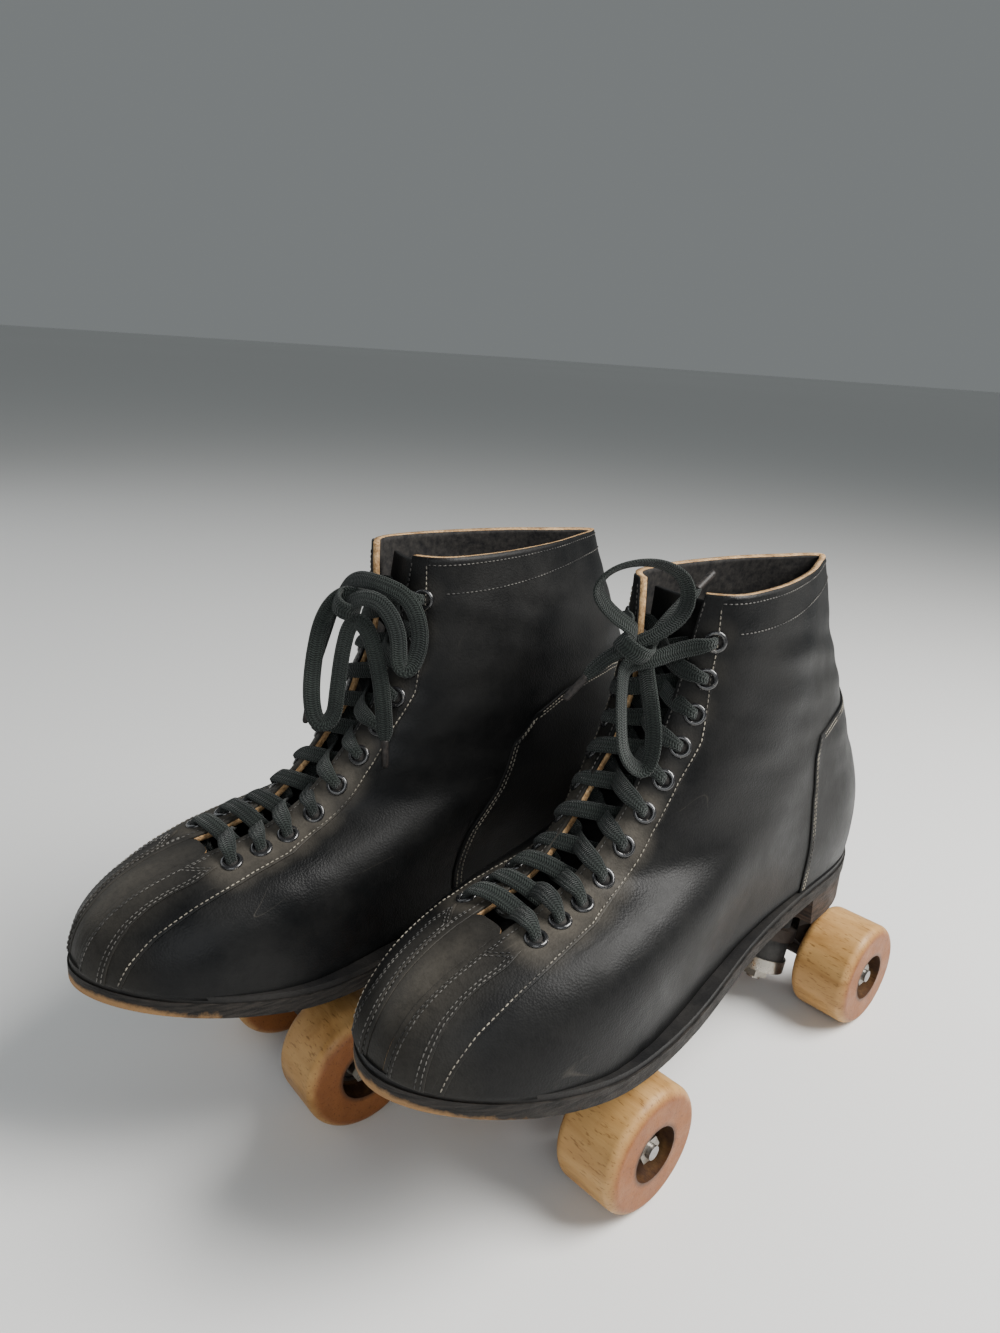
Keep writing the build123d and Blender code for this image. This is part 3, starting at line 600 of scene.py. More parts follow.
# ---------------------------------------------------------------- lace facings and toe patches
# A second layer of the same leather runs down each side of the throat to the toe, stitched along
# both edges, and a narrow patch strengthens each side of the toe strip below the first eyelet.
FACING_WALL, PATCH_WALL = 0.8, 0.7
PATCH_INSET = 2.6
STRIP_EDGE = ((60, 4.6), (95, 4.8), (106, 5.2), (115, 5.8), (124, 7.0), (131, 8.2))
FACING_SEAM = ((22.8, -52.2, 234), (22.7, -53.6, 219.5), (25.0, -57, 195), (23.6, -67.4, 179.2),
               (22.6, -79.6, 160.2), (23.4, -87.4, 150.5), (27.7, -116, 135.7), (29.6, -140, 129.9),
               (29.9, -160.4, 122.6), (28.3, -177.5, 112.5), (26.9, -187, 102), (25.6, -190.8, 92.6))
PATCH_SEAM = ((20.6, -158, 128.4), (19.4, -168, 125), (18.6, -176, 121), (18.5, -185, 114.4),
              (19.5, -192.2, 104.2), (20.2, -194.8, 93.4))
PATCH_TOP_V = 0.335
STRIP_TOP_Y, STRIP_ROUND = -147.0, 8.5


def facing_inner(z):
    line = np.array(STRIP_EDGE, float)
    strip = np.interp(z, line[:, 0], line[:, 1])
    return np.where(z < THROAT_ARC_Z, strip, throat_half_width(z)) + 0.05


def patch_inner(z):
    return facing_inner(z) + PATCH_INSET


def strip_half(z):
    line = np.array(STRIP_EDGE, float)
    return np.interp(z, line[:, 0], line[:, 1]) - 0.25


def seam_u(side, seam, hand):
    """(v, u) along a seam given on the lateral side, for either side of the boot."""
    found = nearest_on_skin(side, [(x * hand, y, z) for x, y, z in seam])
    order = np.argsort(found[:, 1])
    return found[order, 1], found[order, 0]


def band_place(side, hand, inner, seam, out, high_v=1.0):
    """Place function of a band from a front edge to a seam, up to a height."""
    seam_v, seam_at = seam_u(side, seam, hand)

    def place(s, r):
        start = bottom_of(side, np.full_like(s, 0.5 - 0.06 * hand))
        v = start + (high_v - start) * r
        first = front_edge(side, v, inner, hand)
        last = np.interp(v, seam_v, seam_at)
        u = first + (last - first) * s
        start = bottom_of(side, u)
        v = start + (high_v - start) * r
        return on_skin(side, u, v, out)
    return place


def toe_strip_place(side):
    """Place function of the strip between the facings, whose rounded top closes the throat."""
    top = nearest_on_skin(side, [(0, STRIP_TOP_Y, 133)])[0, 1]
    shoulder = nearest_on_skin(side, [(0, STRIP_TOP_Y - STRIP_ROUND, 131)])[0, 1]

    def place(s, r):
        around = s * 2 - 1
        hand = np.where(around >= 0, 1.0, -1.0)
        start = bottom_of(side, np.full_like(s, 0.5))
        end = shoulder + (top - shoulder) * np.sqrt(np.maximum(0, 1 - (0.98 * around) ** 2))
        v = start + (end - start) * r
        lateral = front_edge(side, v, strip_half, 1)
        medial = front_edge(side, v, strip_half, -1)
        edge = np.where(hand > 0, lateral, medial)
        return on_skin(side, 0.5 + (edge - 0.5) * np.abs(around), v, 0.45)
    return place


for side in ("left", "right"):
    for hand, where in ((1, "lateral"), (-1, "medial")):
        place = band_place(side, hand, facing_inner, FACING_SEAM, FACING_WALL)
        facing = set_down(f"{side}_{where}_facing", sheet_mesh(20, 130, place, rub_marks), side,
                          (black_leather, black_leather, raw_edge))
        give_wall(facing, FACING_WALL + 0.6, inner=1, rim=0, bevel=0.25)
        place = band_place(side, hand, patch_inner, PATCH_SEAM, FACING_WALL + PATCH_WALL, PATCH_TOP_V)
        patch = set_down(f"{side}_{where}_toe_patch", sheet_mesh(12, 34, place, rub_marks), side,
                         (black_leather,))
        give_wall(patch, PATCH_WALL + 0.4, bevel=0.25)

    strip = set_down(side + "_toe_strip", sheet_mesh(22, 60, toe_strip_place(side), rub_marks), side,
                     (black_leather, black_leather, raw_edge))
    give_wall(strip, 1.3, inner=1, rim=2, bevel=0.3)

# ---------------------------------------------------------------- heel counter
# One panel of the same leather wraps the back of the boot from the sole to the ankle, longer on
# the inner side, and is held by a double row of stitches.
COUNTER_WALL = 0.9
COUNTER_FRONT = {
    1: ((33.0, 35.5, 96), (34.9, 33.3, 119), (34.9, 28, 147.4), (33.9, 26.0, 168.2), (32, 31.5, 178.6)),
    -1: ((-40, -36, 92), (-40.1, -33, 123.4), (-38.6, -18.5, 142.5), (-37.2, -9.8, 163), (-35.8, 4, 177)),
}
COUNTER_TOP = {
    1: ((0, 97, 186), (12, 88, 184.5), (20, 71.5, 182.4), (27, 50, 181), (32, 31.5, 178.6)),
    -1: ((0, 97, 186), (-12, 88, 187.5), (-21, 68, 189.5), (-27, 45.5, 188), (-32.7, 23.6, 183.9),
         (-35.8, 4, 177)),
}


def counter_place(side, out):
    edges = {}
    for hand in (1, -1):
        front = nearest_on_skin(side, COUNTER_FRONT[hand])
        top = nearest_on_skin(side, COUNTER_TOP[hand])
        front_u = np.mod(front[:, 0], 1) if hand > 0 else 1 - np.mod(front[:, 0], 1)
        top_u = np.mod(top[:, 0], 1) if hand > 0 else 1 - np.mod(top[:, 0], 1)
        top_u[0] = 0
        base = bottom_of(side, front_u if hand > 0 else 1 - front_u)
        height = np.clip((front[:, 1] - base) / (front[-1, 1] - base[-1]), 0, 1)
        height[-1] = 1
        edges[hand] = (height, front_u, top_u, top[:, 1])

    def place(s, r):
        around = s * 2 - 1
        share = np.abs(around)
        lateral = around >= 0
        u = np.zeros_like(s)
        top_v = np.zeros_like(s)
        for hand, chosen in ((1, lateral), (-1, ~lateral)):
            height, front_u, top_u, levels = edges[hand]
            far = np.interp(r, height, front_u)
            here = share * far
            top_here = np.interp(share * front_u[-1], top_u, levels)
            u = np.where(chosen, here if hand > 0 else 1 - here, u)
            top_v = np.where(chosen, top_here, top_v)
        start = bottom_of(side, u)
        return on_skin(side, u, start + (top_v - start) * r, out)
    return place


for side in ("left", "right"):
    counter = set_down(side + "_counter_panel", sheet_mesh(110, 44, counter_place(side, COUNTER_WALL)), side,
                       (black_leather,))
    give_wall(counter, COUNTER_WALL + 0.5, bevel=0.3)
    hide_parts(side + "_heel_counter")

# ---------------------------------------------------------------- stitching
# Waxed thread: dark rows along the collar and the throat, a pale row down each facing's outer edge,
# dark double rows round the patches and pale double rows round the counter.
STITCH_PITCH, STITCH_LENGTH, STITCH_RADIUS = 2.3, 1.75, 0.3
THREAD_RISE = 0.12
PALE, DARK = 0, 1

threads = []
for tone, soiled, clean in (("pale", (0.050, 0.046, 0.040), (0.30, 0.27, 0.215)),
                            ("dark", (0.006, 0.006, 0.006), (0.085, 0.080, 0.072))):
    thread, tree, shader = new_material(tone + "_thread", Roughness=0.55)
    place = object_place(tree)
    soil = noise_on(tree, place, 75.0, 5.0)
    tree.links.new(ramp(tree, soil, (0.36, soiled), (0.60, clean)), shader.inputs["Base Color"])
    twist = noise_on(tree, place, 2200.0, 2.0)
    use_bump(tree, shader, twist, 0.5, 0.0002)
    threads.append(thread)


def add_to(bm, small):
    """Adds one small bmesh's geometry to another and frees it."""
    holder = bpy.data.meshes.new("holder")
    small.to_mesh(holder)
    small.free()
    bm.from_mesh(holder)
    bpy.data.meshes.remove(holder)


def sew(bm, spots, normals, tone):
    """Adds stitches along a dense row of points with their outward normals, in pale or dark thread."""
    distance = steps_along(spots)
    row = bmesh.new()
    for at in np.arange(0.5, distance[-1] - STITCH_LENGTH / 2, STITCH_PITCH):
        spot = read_row(at, distance, spots)
        normal = Vector(read_row(at, distance, normals)).normalized()
        along = Vector(read_row(at + 0.6, distance, spots) - spot)
        if along.length < 1e-6:
            continue
        along.normalize()
        across = normal.cross(along).normalized()
        axes = (along * (STITCH_LENGTH / 2), across * STITCH_RADIUS, normal * STITCH_RADIUS)
        basis = Matrix(axes).transposed().to_4x4()
        matrix = Matrix.Translation(Vector(spot) * MM) @ Matrix.Scale(MM, 4) @ basis
        bmesh.ops.create_uvsphere(row, u_segments=6, v_segments=4, radius=1.0,
                                  matrix=matrix @ Matrix.Rotation(math.pi / 2, 4, "Y"))
    for face in row.faces:
        face.material_index = tone
    add_to(bm, row)


def row_of(place, fixed, value, low=0.0, high=1.0, count=260):
    """Points and normals along a line of a place function where s or r is fixed."""
    run = np.linspace(low, high, count)
    still = np.full(count, float(value))
    return place(still, run) if fixed == "s" else place(run, still)


def inset_share(place, fixed, end, distance, low=0.1, high=0.9):
    """Value of s or r that lies a distance in from its end."""
    spans = []
    for level in np.linspace(low, high, 5):
        run, still = np.linspace(0, 1, 60), np.full(60, level)
        spans.append(steps_along(place(run, still)[0] if fixed == "s" else place(still, run)[0])[-1])
    share = distance / np.mean(spans)
    return 1 - share if end else share


for side in ("left", "right"):
    rows = bmesh.new()
    for hand in (1, -1):
        facing = band_place(side, hand, facing_inner, FACING_SEAM, FACING_WALL + THREAD_RISE)
        sew(rows, *row_of(facing, "s", inset_share(facing, "s", 1, 1.5), 0.01, 0.985, 420), PALE)
        sew(rows, *row_of(facing, "s", inset_share(facing, "s", 0, 1.6, 0.5, 0.9), 0.0, 0.99, 420), DARK)
        sew(rows, *row_of(facing, "s", inset_share(facing, "s", 0, 3.4, 0.0, 0.2), 0.0, 0.29, 200), DARK)
        patch = band_place(side, hand, patch_inner, PATCH_SEAM, FACING_WALL + PATCH_WALL + THREAD_RISE,
                           PATCH_TOP_V)
        for inset in (1.3, 3.1):
            sew(rows, *row_of(patch, "s", inset_share(patch, "s", 1, inset), 0.02, 0.97), DARK)
            sew(rows, *row_of(patch, "r", inset_share(patch, "r", 1, inset, 0.2, 0.8), 0.1, 0.9, 80), DARK)
        sew(rows, *row_of(patch, "s", inset_share(patch, "s", 0, 1.3), 0.02, 0.97), DARK)
    collar = shell_place(side)
    for drop, low, high in ((2.6, 0.0, 1.0), (12.0, 0.06, 0.94)):
        level = inset_share(collar, "r", 1, drop, 0.3, 0.7)
        spots, normals = row_of(collar, "r", level, low + 0.012, high - 0.012, 500)
        sew(rows, spots + normals * 0.1, normals, DARK)
    counter = counter_place(side, COUNTER_WALL + THREAD_RISE)
    for inset in (1.6, 3.5):
        for end in (0, 1):
            sew(rows, *row_of(counter, "s", inset_share(counter, "s", end, inset), 0.02, 0.985), PALE)
        sew(rows, *row_of(counter, "r", inset_share(counter, "r", 1, inset), 0.03, 0.97, 400), PALE)
    set_down(side + "_stitching", rows, side, threads)

# ---------------------------------------------------------------- tongue
# A soft sheet of black leather under the throat, sewn in at the toe end and free at the collar.
TONGUE_WALL, TONGUE_DROP, TONGUE_HALF_WIDTH = 2.4, 12.6, 18.0
RIDGE = ((-170, 128), (-150, 133), (-124, 139), (-104, 152), (-90, 165), (-76, 185), (-66, 205), (-62, 228),
         (-60, 252))


def tongue_place(s, r):
    line = np.array(RIDGE, float)
    length = steps_along(line)
    at = r * (length[-1] - 2)
    spot = curve_through(length, line, at)
    heading = curve_through(length, line, np.minimum(at + 0.5, length[-1])) - curve_through(
        length, line, np.maximum(at - 0.5, 0))
    heading /= np.linalg.norm(heading, axis=1, keepdims=True)
    inward = np.stack([heading[:, 1], -heading[:, 0]], 1)
    x = (s * 2 - 1) * TONGUE_HALF_WIDTH
    drop = TONGUE_DROP + 3.2 * (x / TONGUE_HALF_WIDTH) ** 2 + 0.8 * np.sin(r * 17 + x * 0.12)
    places = np.stack([x, spot[:, 0] + inward[:, 0] * drop, spot[:, 1] + inward[:, 1] * drop], 1)
    return places, np.stack([0 * x, -inward[:, 0], -inward[:, 1]], 1)


for side in ("left", "right"):
    tongue = set_down(side + "_tongue_sheet", sheet_mesh(24, 90, tongue_place), side,
                      (black_leather, lining))
    give_wall(tongue, TONGUE_WALL, inner=1, bevel=0.5)
    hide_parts(side + "_tongue")

# ---------------------------------------------------------------- eyelets
# Two rows of eleven rolled eyelets in glossy black enamel, set through the facings.
EYELET_PROFILE = ((2.7, -1.6), (2.7, 0.9), (2.95, 1.45), (3.6, 1.78), (4.35, 1.55), (4.75, 0.95), (4.7, 0.5),
                  (3.4, 0.4), (3.35, -1.6))
EYELET_WELL_RADIUS = 2.9

enamel, tree, shader = new_material("black_enamel", Coat_Weight=0.6, Coat_Roughness=0.12)
place = object_place(tree)
chips = noise_on(tree, place, 420.0, 6.0, 0.7)
bare = ramp(tree, chips, (0.60, (0, 0, 0)), (0.66, (1, 1, 1)))
tree.links.new(mix_colour(tree, bare, (0.012, 0.012, 0.013), (0.16, 0.145, 0.125)),
               shader.inputs["Base Color"])
dull = spread(tree, chips, (0.4, 0.7), (0.16, 0.45))
tree.links.new(dull, shader.inputs["Roughness"])
use_bump(tree, shader, chips, 0.15, 0.0002)


def turn_profile(bm, profile, steps, closed):
    """Turns a profile of (radius, height) points round the Z axis."""
    verts = [bm.verts.new((radius, 0, height)) for radius, height in profile]
    following = verts[1:] + (verts[:1] if closed else [])
    edges = [bm.edges.new(pair) for pair in zip(verts, following)]
    bmesh.ops.spin(bm, geom=verts + edges, cent=(0, 0, 0), axis=(0, 0, 1), angle=math.tau, steps=steps,
                   use_merge=True)


def stand_at(spot, heading):
    """Matrix that puts a shape made in millimetres along Z at a spot, along a heading."""
    turned = heading.to_track_quat("Z", "Y").to_matrix().to_4x4()
    return Matrix.Translation(spot * MM) @ turned @ Matrix.Scale(MM, 4)


eyelet_spots = {}
for side in ("left", "right"):
    rings = bmesh.new()
    eyelet_spots[side] = []
    for y, z in EYELETS:
        pair = []
        for hand in (1, -1):
            found = nearest_on_skin(side, [(hand * EYELET_X, y, z)])
            spot, normal = on_skin(side, found[:, 0], found[:, 1])
            spot, normal = Vector(spot[0]), Vector(normal[0])
            pair.append((spot, normal))
            ring = bmesh.new()
            turn_profile(ring, EYELET_PROFILE, 22, closed=True)
            well = bmesh.ops.create_cone(ring, cap_ends=True, segments=16, radius1=EYELET_WELL_RADIUS,
                                         radius2=EYELET_WELL_RADIUS, depth=1.6,
                                         matrix=Matrix.Translation((0, 0, 0.15)))
            for face in {f for v in well["verts"] for f in v.link_faces}:
                face.material_index = 1
            bmesh.ops.transform(ring, matrix=stand_at(spot, normal), verts=ring.verts)
            add_to(rings, ring)
        eyelet_spots[side].append(pair)
    bmesh.ops.recalc_face_normals(rings, faces=rings.faces)
    eyelets = set_down(side + "_eyelet_rings", rings, side, (enamel, lining))
    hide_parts(side + "_eyelets")

# ---------------------------------------------------------------- laces
# One flat woven cotton lace on each boot, dark green-black, criss-crossed up the throat from under
# the lowest eyelets and tied in a bow. Each is made as two halves that meet under the bottom bar.
LACE_WIDTH, LACE_THICKNESS = 7.5, 1.7
EYELET_LACE_WIDTH, EYELET_LACE_THICKNESS = 4.9, 2.7
BOWS = {
    "left": {
        -1: ((-13, -63, 237), (-5, -74, 234), (3, -79, 238), (-6, -88, 246), (-9, -95, 256), (-3, -90, 265),
             (5, -75, 267), (11, -62, 260), (13, -62, 247), (8, -72, 238), (-2, -80, 231), (-9, -87, 224),
             (-12, -92, 217)),
        1: ((14, -63, 232), (7, -74, 227), (0, -82, 225), (5, -89, 218), (12, -96, 206), (15, -96, 193),
            (20, -88, 186), (21, -85, 198), (15, -82, 212), (7, -76, 220), (0, -70, 229), (2, -62, 239),
            (3, -51, 247), (3, -42, 252)),
    },
    "right": {
        -1: ((-13, -63, 237), (-5, -74, 234), (2, -80, 236), (5, -88, 226), (2, -94, 208), (-5, -99, 192),
             (-9, -98, 181), (-13, -92, 184), (-12, -90, 197), (-9, -86, 214), (-7, -81, 226),
             (-14, -77, 225), (-21, -75, 208), (-25, -74, 188), (-26, -74, 174)),
        1: ((14, -63, 232), (7, -74, 227), (0, -82, 228), (-10, -79, 237), (-19, -73, 236), (-25, -68, 224),
            (-27, -69, 208), (-30, -64, 207), (-30, -59, 222), (-24, -62, 238), (-12, -72, 243),
            (2, -75, 242), (12, -76, 232), (17, -79, 214), (18, -85, 196), (17, -88, 183)),
    },
}
AGLET_RADIUS, AGLET_LENGTH = 1.7, 13.0

woven, tree, shader = new_material("woven_cotton", Roughness=0.9, Specular_IOR_Level=0.25, Sheen_Weight=0.10,
                                   Sheen_Roughness=0.5)
uv = tree.nodes.new("ShaderNodeUVMap")
uv.uv_map = "run"
apart = add_node(tree, "ShaderNodeSeparateXYZ", [("Vector", uv.outputs["UV"])])
# Plaited ribs: rows slant one way on every other rib, as a flat braid does.
ribs = calculate(tree, "SINE", calculate(tree, "MULTIPLY", apart.outputs["Y"], math.tau / 1.05))
slant = calculate(tree, "ABSOLUTE", calculate(tree, "SUBTRACT", calculate(
    tree, "FRACT", calculate(tree, "MULTIPLY", apart.outputs["Y"], 1 / 2.5)), 0.5))
picks = calculate(tree, "SINE", calculate(tree, "ADD", calculate(
    tree, "MULTIPLY", apart.outputs["X"], math.tau / 1.0), calculate(tree, "MULTIPLY", slant, 9.0)))
weave = calculate(tree, "ADD", calculate(tree, "MULTIPLY", ribs, 0.5), picks)
place = object_place(tree)
fuzz = noise_on(tree, place, 1150.0, 5.0, 0.75)
fade = noise_on(tree, place, 45.0, 4.0)
height = calculate(tree, "ADD", weave, calculate(tree, "MULTIPLY", fuzz, 1.6))
yarn = ramp(tree, calculate(tree, "MULTIPLY_ADD", calculate(tree, "MULTIPLY", height, 0.5), 0.36, 0.42),
            (0.30, (0.0035, 0.0052, 0.0050)), (0.95, (0.030, 0.040, 0.037)))
faded = ramp(tree, fade, (0.35, (0.62, 0.64, 0.62)), (0.7, (1.25, 1.22, 1.12)))
tree.links.new(mix_colour(tree, 1.0, yarn, faded, "MULTIPLY"), shader.inputs["Base Color"])
use_bump(tree, shader, height, 0.7, 0.00035)

tip_plastic, tree, shader = new_material("aglet_plastic", Specular_IOR_Level=0.25)
place = object_place(tree)
scratches = noise_on(tree, place, 700.0, 5.0)
tip_tone = ramp(tree, scratches, (0.35, (0.012, 0.011, 0.011)), (0.75, (0.045, 0.038, 0.034)))
tree.links.new(tip_tone, shader.inputs["Base Color"])
tree.links.new(spread(tree, scratches, (0.0, 1.0), (0.4, 0.6)), shader.inputs["Roughness"])
use_bump(tree, shader, scratches, 0.2, 0.0002)


def lace_route(side, start):
    """Route points of one half lace, which goes through the lateral eyelet first if start is 1."""
    lift = 1.6 if start < 0 else -1.6
    spots = eyelet_spots[side]
    first, normal = spots[0][0 if start > 0 else 1]
    under = first - normal * 7
    points = [Vector((start * 2.5, under.y - 3, under.z - 1)),
              Vector((under.x * 0.6, under.y - 2, under.z - 1))]
    hand = start
    for k in range(len(EYELETS)):
        here, normal = spots[k][0 if hand > 0 else 1]
        points += [here - normal * 7, here + normal * 4.6]
        if k + 1 < len(EYELETS):
            there, normal_there = spots[k + 1][0 if hand < 0 else 1]
            out = (normal + normal_there) * 0.5
            out = Vector((0, out.y, out.z)).normalized()
            leave, arrive = here.lerp(there, 0.25), here.lerp(there, 0.72)
            points.append(Vector((hand * 8, leave.y, leave.z)) + out * (7 + lift))
            points.append(Vector((-hand * 8, arrive.y, arrive.z)) - out * (6 - lift))
        hand = -hand
    return points + [Vector(p) for p in BOWS[side][start]]


def smooth_line(points):
    """Points along the NURBS spline of a route, in the route's own units."""
    curve = bpy.data.curves.new("route", "CURVE")
    curve.dimensions = "3D"
    spline = curve.splines.new("NURBS")
    spline.points.add(len(points) - 1)
    for target, point in zip(spline.points, points):
        target.co = (*point, 1)
    spline.order_u = 3
    spline.use_endpoint_u = True
    spline.resolution_u = 10
    holder = bpy.data.objects.new("route", curve)
    bpy.context.scene.collection.objects.link(holder)
    bpy.context.view_layer.update()
    line_mesh = bpy.data.meshes.new_from_object(holder.evaluated_get(bpy.context.evaluated_depsgraph_get()))
    line = np.array([v.co[:] for v in line_mesh.vertices])
    bpy.data.objects.remove(holder)
    bpy.data.curves.remove(curve)
    bpy.data.meshes.remove(line_mesh)
    length = steps_along(line)
    keep = np.concatenate([[True], np.diff(length) > 1e-7])
    return line[keep]


def evenly(line, step):
    """The same line with points at equal distances."""
    length = steps_along(line)
    at = np.linspace(0, length[-1], int(length[-1] / step) + 1)
    return read_row(at, length, line)


def ribbon_frames(line, guide, guided):
    """Headings and width directions along a ribbon; guide gives the width direction where guided."""
    heading = np.gradient(line, axis=0)
    heading /= np.linalg.norm(heading, axis=1, keepdims=True)
    width = np.zeros_like(line)
    last = guide[0]
    for k in range(len(line)):
        wanted = guide[k] if guided[k] else last
        side_way = wanted - heading[k] * np.dot(wanted, heading[k])
        size = np.linalg.norm(side_way)
        if size < 0.35:
            side_way = last - heading[k] * np.dot(last, heading[k])
            size = np.linalg.norm(side_way)
        side_way = side_way / size
        if np.dot(side_way, last) < 0 and not guided[k]:
            side_way = -side_way
        blend = 0.30 if guided[k] else 1.0
        side_way = last * (1 - blend) + side_way * blend
        side_way -= heading[k] * np.dot(side_way, heading[k])
        last = side_way / np.linalg.norm(side_way)
        width[k] = last
    return heading, width


def ribbon_mesh(line, width_way, heading, widths, depths, around=14):
    """A flat woven tape along a line, with rounded edges, closed at both ends."""
    bm = bmesh.new()
    columns = len(line) - 1
    bmesh.ops.create_grid(bm, x_segments=columns, y_segments=around, size=0.5)
    length = steps_along(line)
    along = bm.verts.layers.float.new("along")
    turn = bm.verts.layers.float.new("turn")
    thick_way = np.cross(heading, width_way)
    for vert in bm.verts:
        k = int(round((vert.co.x + 0.5) * columns))
        share = vert.co.y + 0.5
        angle = share * math.tau
        c, s = math.cos(angle), math.sin(angle)
        flat = math.copysign(abs(c) ** 0.75, c) * widths[k] / 2
        proud = math.copysign(abs(s) ** 0.62, s) * depths[k] / 2
        vert.co = Vector(line[k] + width_way[k] * flat + thick_way[k] * proud) * MM
        vert[along] = length[k]
        vert[turn] = share
    uv_layer = bm.loops.layers.uv.new("run")
    for face in bm.faces:
        for loop in face.loops:
            share = loop.vert[turn]
            across = (share if share <= 0.5 else 1 - share) * 2 * LACE_WIDTH
            loop[uv_layer].uv = (loop.vert[along], across)
    bmesh.ops.remove_doubles(bm, verts=bm.verts, dist=1e-6)
    open_edges = [e for e in bm.edges if e.is_boundary]
    bmesh.ops.holes_fill(bm, edges=open_edges, sides=0)
    bmesh.ops.recalc_face_normals(bm, faces=bm.faces)
    return bm


def tip_mesh(start, heading):
    """A rolled plastic tip, a little waisted, with a rounded end."""
    bm = bmesh.new()
    outline = ((1, 0), (1.06, 0.5), (1, 1.2), (0.93, 6), (0.88, AGLET_LENGTH - 1.4),
               (0.6, AGLET_LENGTH - 0.3))
    outline = [(AGLET_RADIUS * share, height) for share, height in outline]
    turn_profile(bm, [(0.02, 0), *outline, (0.02, AGLET_LENGTH)], 18, closed=False)
    bmesh.ops.remove_doubles(bm, verts=bm.verts, dist=0.03)
    bmesh.ops.recalc_face_normals(bm, faces=bm.faces)
    bmesh.ops.transform(bm, matrix=stand_at(Vector(start), Vector(heading)), verts=bm.verts)
    return bm


ridge_line = np.array([(0, y, z) for y, z in EYELETS], float)
rise = np.gradient(ridge_line, axis=0)
rise /= np.linalg.norm(rise, axis=1, keepdims=True)
for side in ("left", "right"):
    for start, where in ((-1, "medial"), (1, "lateral")):
        route = lace_route(side, start)
        line = evenly(smooth_line(route), 1.3)
        centres = [np.array(spot) for pair in eyelet_spots[side] for spot, normal in pair]
        gap = np.min([np.linalg.norm(line - c, axis=1) for c in centres], axis=0)
        top_pair = [np.array(spot) for spot, normal in eyelet_spots[side][-1]]
        close = [k for k in range(len(line)) if min(np.linalg.norm(line[k] - c) for c in top_pair) < 5]
        bow_from = max(close) if close else len(line) * 2 // 3
        guide = read_row(line[:, 2], ridge_line[:, 2], rise)
        guided = np.arange(len(line)) <= bow_from
        heading, width_way = ribbon_frames(line, guide, guided)
        narrow = np.clip((gap - 2.5) / 6.5, 0, 1)
        narrow = narrow * narrow * (3 - 2 * narrow)
        narrow[np.arange(len(line)) > bow_from + 8] = 1
        end_taper = np.clip((steps_along(line)[-1] - steps_along(line)) / 5, 0, 1)
        widths = (EYELET_LACE_WIDTH + (LACE_WIDTH - EYELET_LACE_WIDTH) * narrow) * (0.42 + 0.58 * end_taper)
        depths = EYELET_LACE_THICKNESS + (LACE_THICKNESS - EYELET_LACE_THICKNESS) * narrow
        tape = set_down(f"{side}_{where}_lace_half", ribbon_mesh(line, width_way, heading, widths, depths),
                        side, (woven,))
        tip = set_down(f"{side}_{where}_aglet", tip_mesh(line[-1] - heading[-1] * 1.5, heading[-1]), side,
                       (tip_plastic,))
        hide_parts(side + "_lace")
        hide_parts(side + "_lace_aglets")

# The knot: the two halves wrap each other in a tight band where the bow is drawn up.
KNOTS = {"left": ((1.5, -79.5, 231.5), (0.55, 0.25, 0.80)),
         "right": ((-1.5, -79.5, 231.5), (-0.35, 0.1, 0.93))}
KNOT_WIDTH, KNOT_THICKNESS, KNOT_STEPS = 8.2, 2.3, 44
for side in ("left", "right"):
    spot, axis = KNOTS[side]
    axis = Vector(axis).normalized()
    start_way = axis.orthogonal().normalized()
    other_way = axis.cross(start_way)
    turns = np.linspace(0, math.tau * 1.12, KNOT_STEPS)
    line = np.array([Vector(spot) + start_way * 6.4 * math.cos(t) + other_way * 5.2 * math.sin(t)
                     + axis * 2.2 * (t / 3.5 - 1) for t in turns])
    heading, width_way = ribbon_frames(line, np.tile(np.array(axis), (KNOT_STEPS, 1)),
                                       np.ones(KNOT_STEPS, bool))
    widths, depths = (np.full(KNOT_STEPS, size) for size in (KNOT_WIDTH, KNOT_THICKNESS))
    set_down(side + "_lace_knot", ribbon_mesh(line, width_way, heading, widths, depths), side,
             (woven,))

# ---------------------------------------------------------------- insole, welt, outsole and heel
# Leather board footbed, a black welt drawn into a groove, a dyed outsole that is rubbed back to
# brown along the toe, and a heel of stacked leather lifts.
TOE_SPRING = 0.18
HEEL_LIFTS = 4


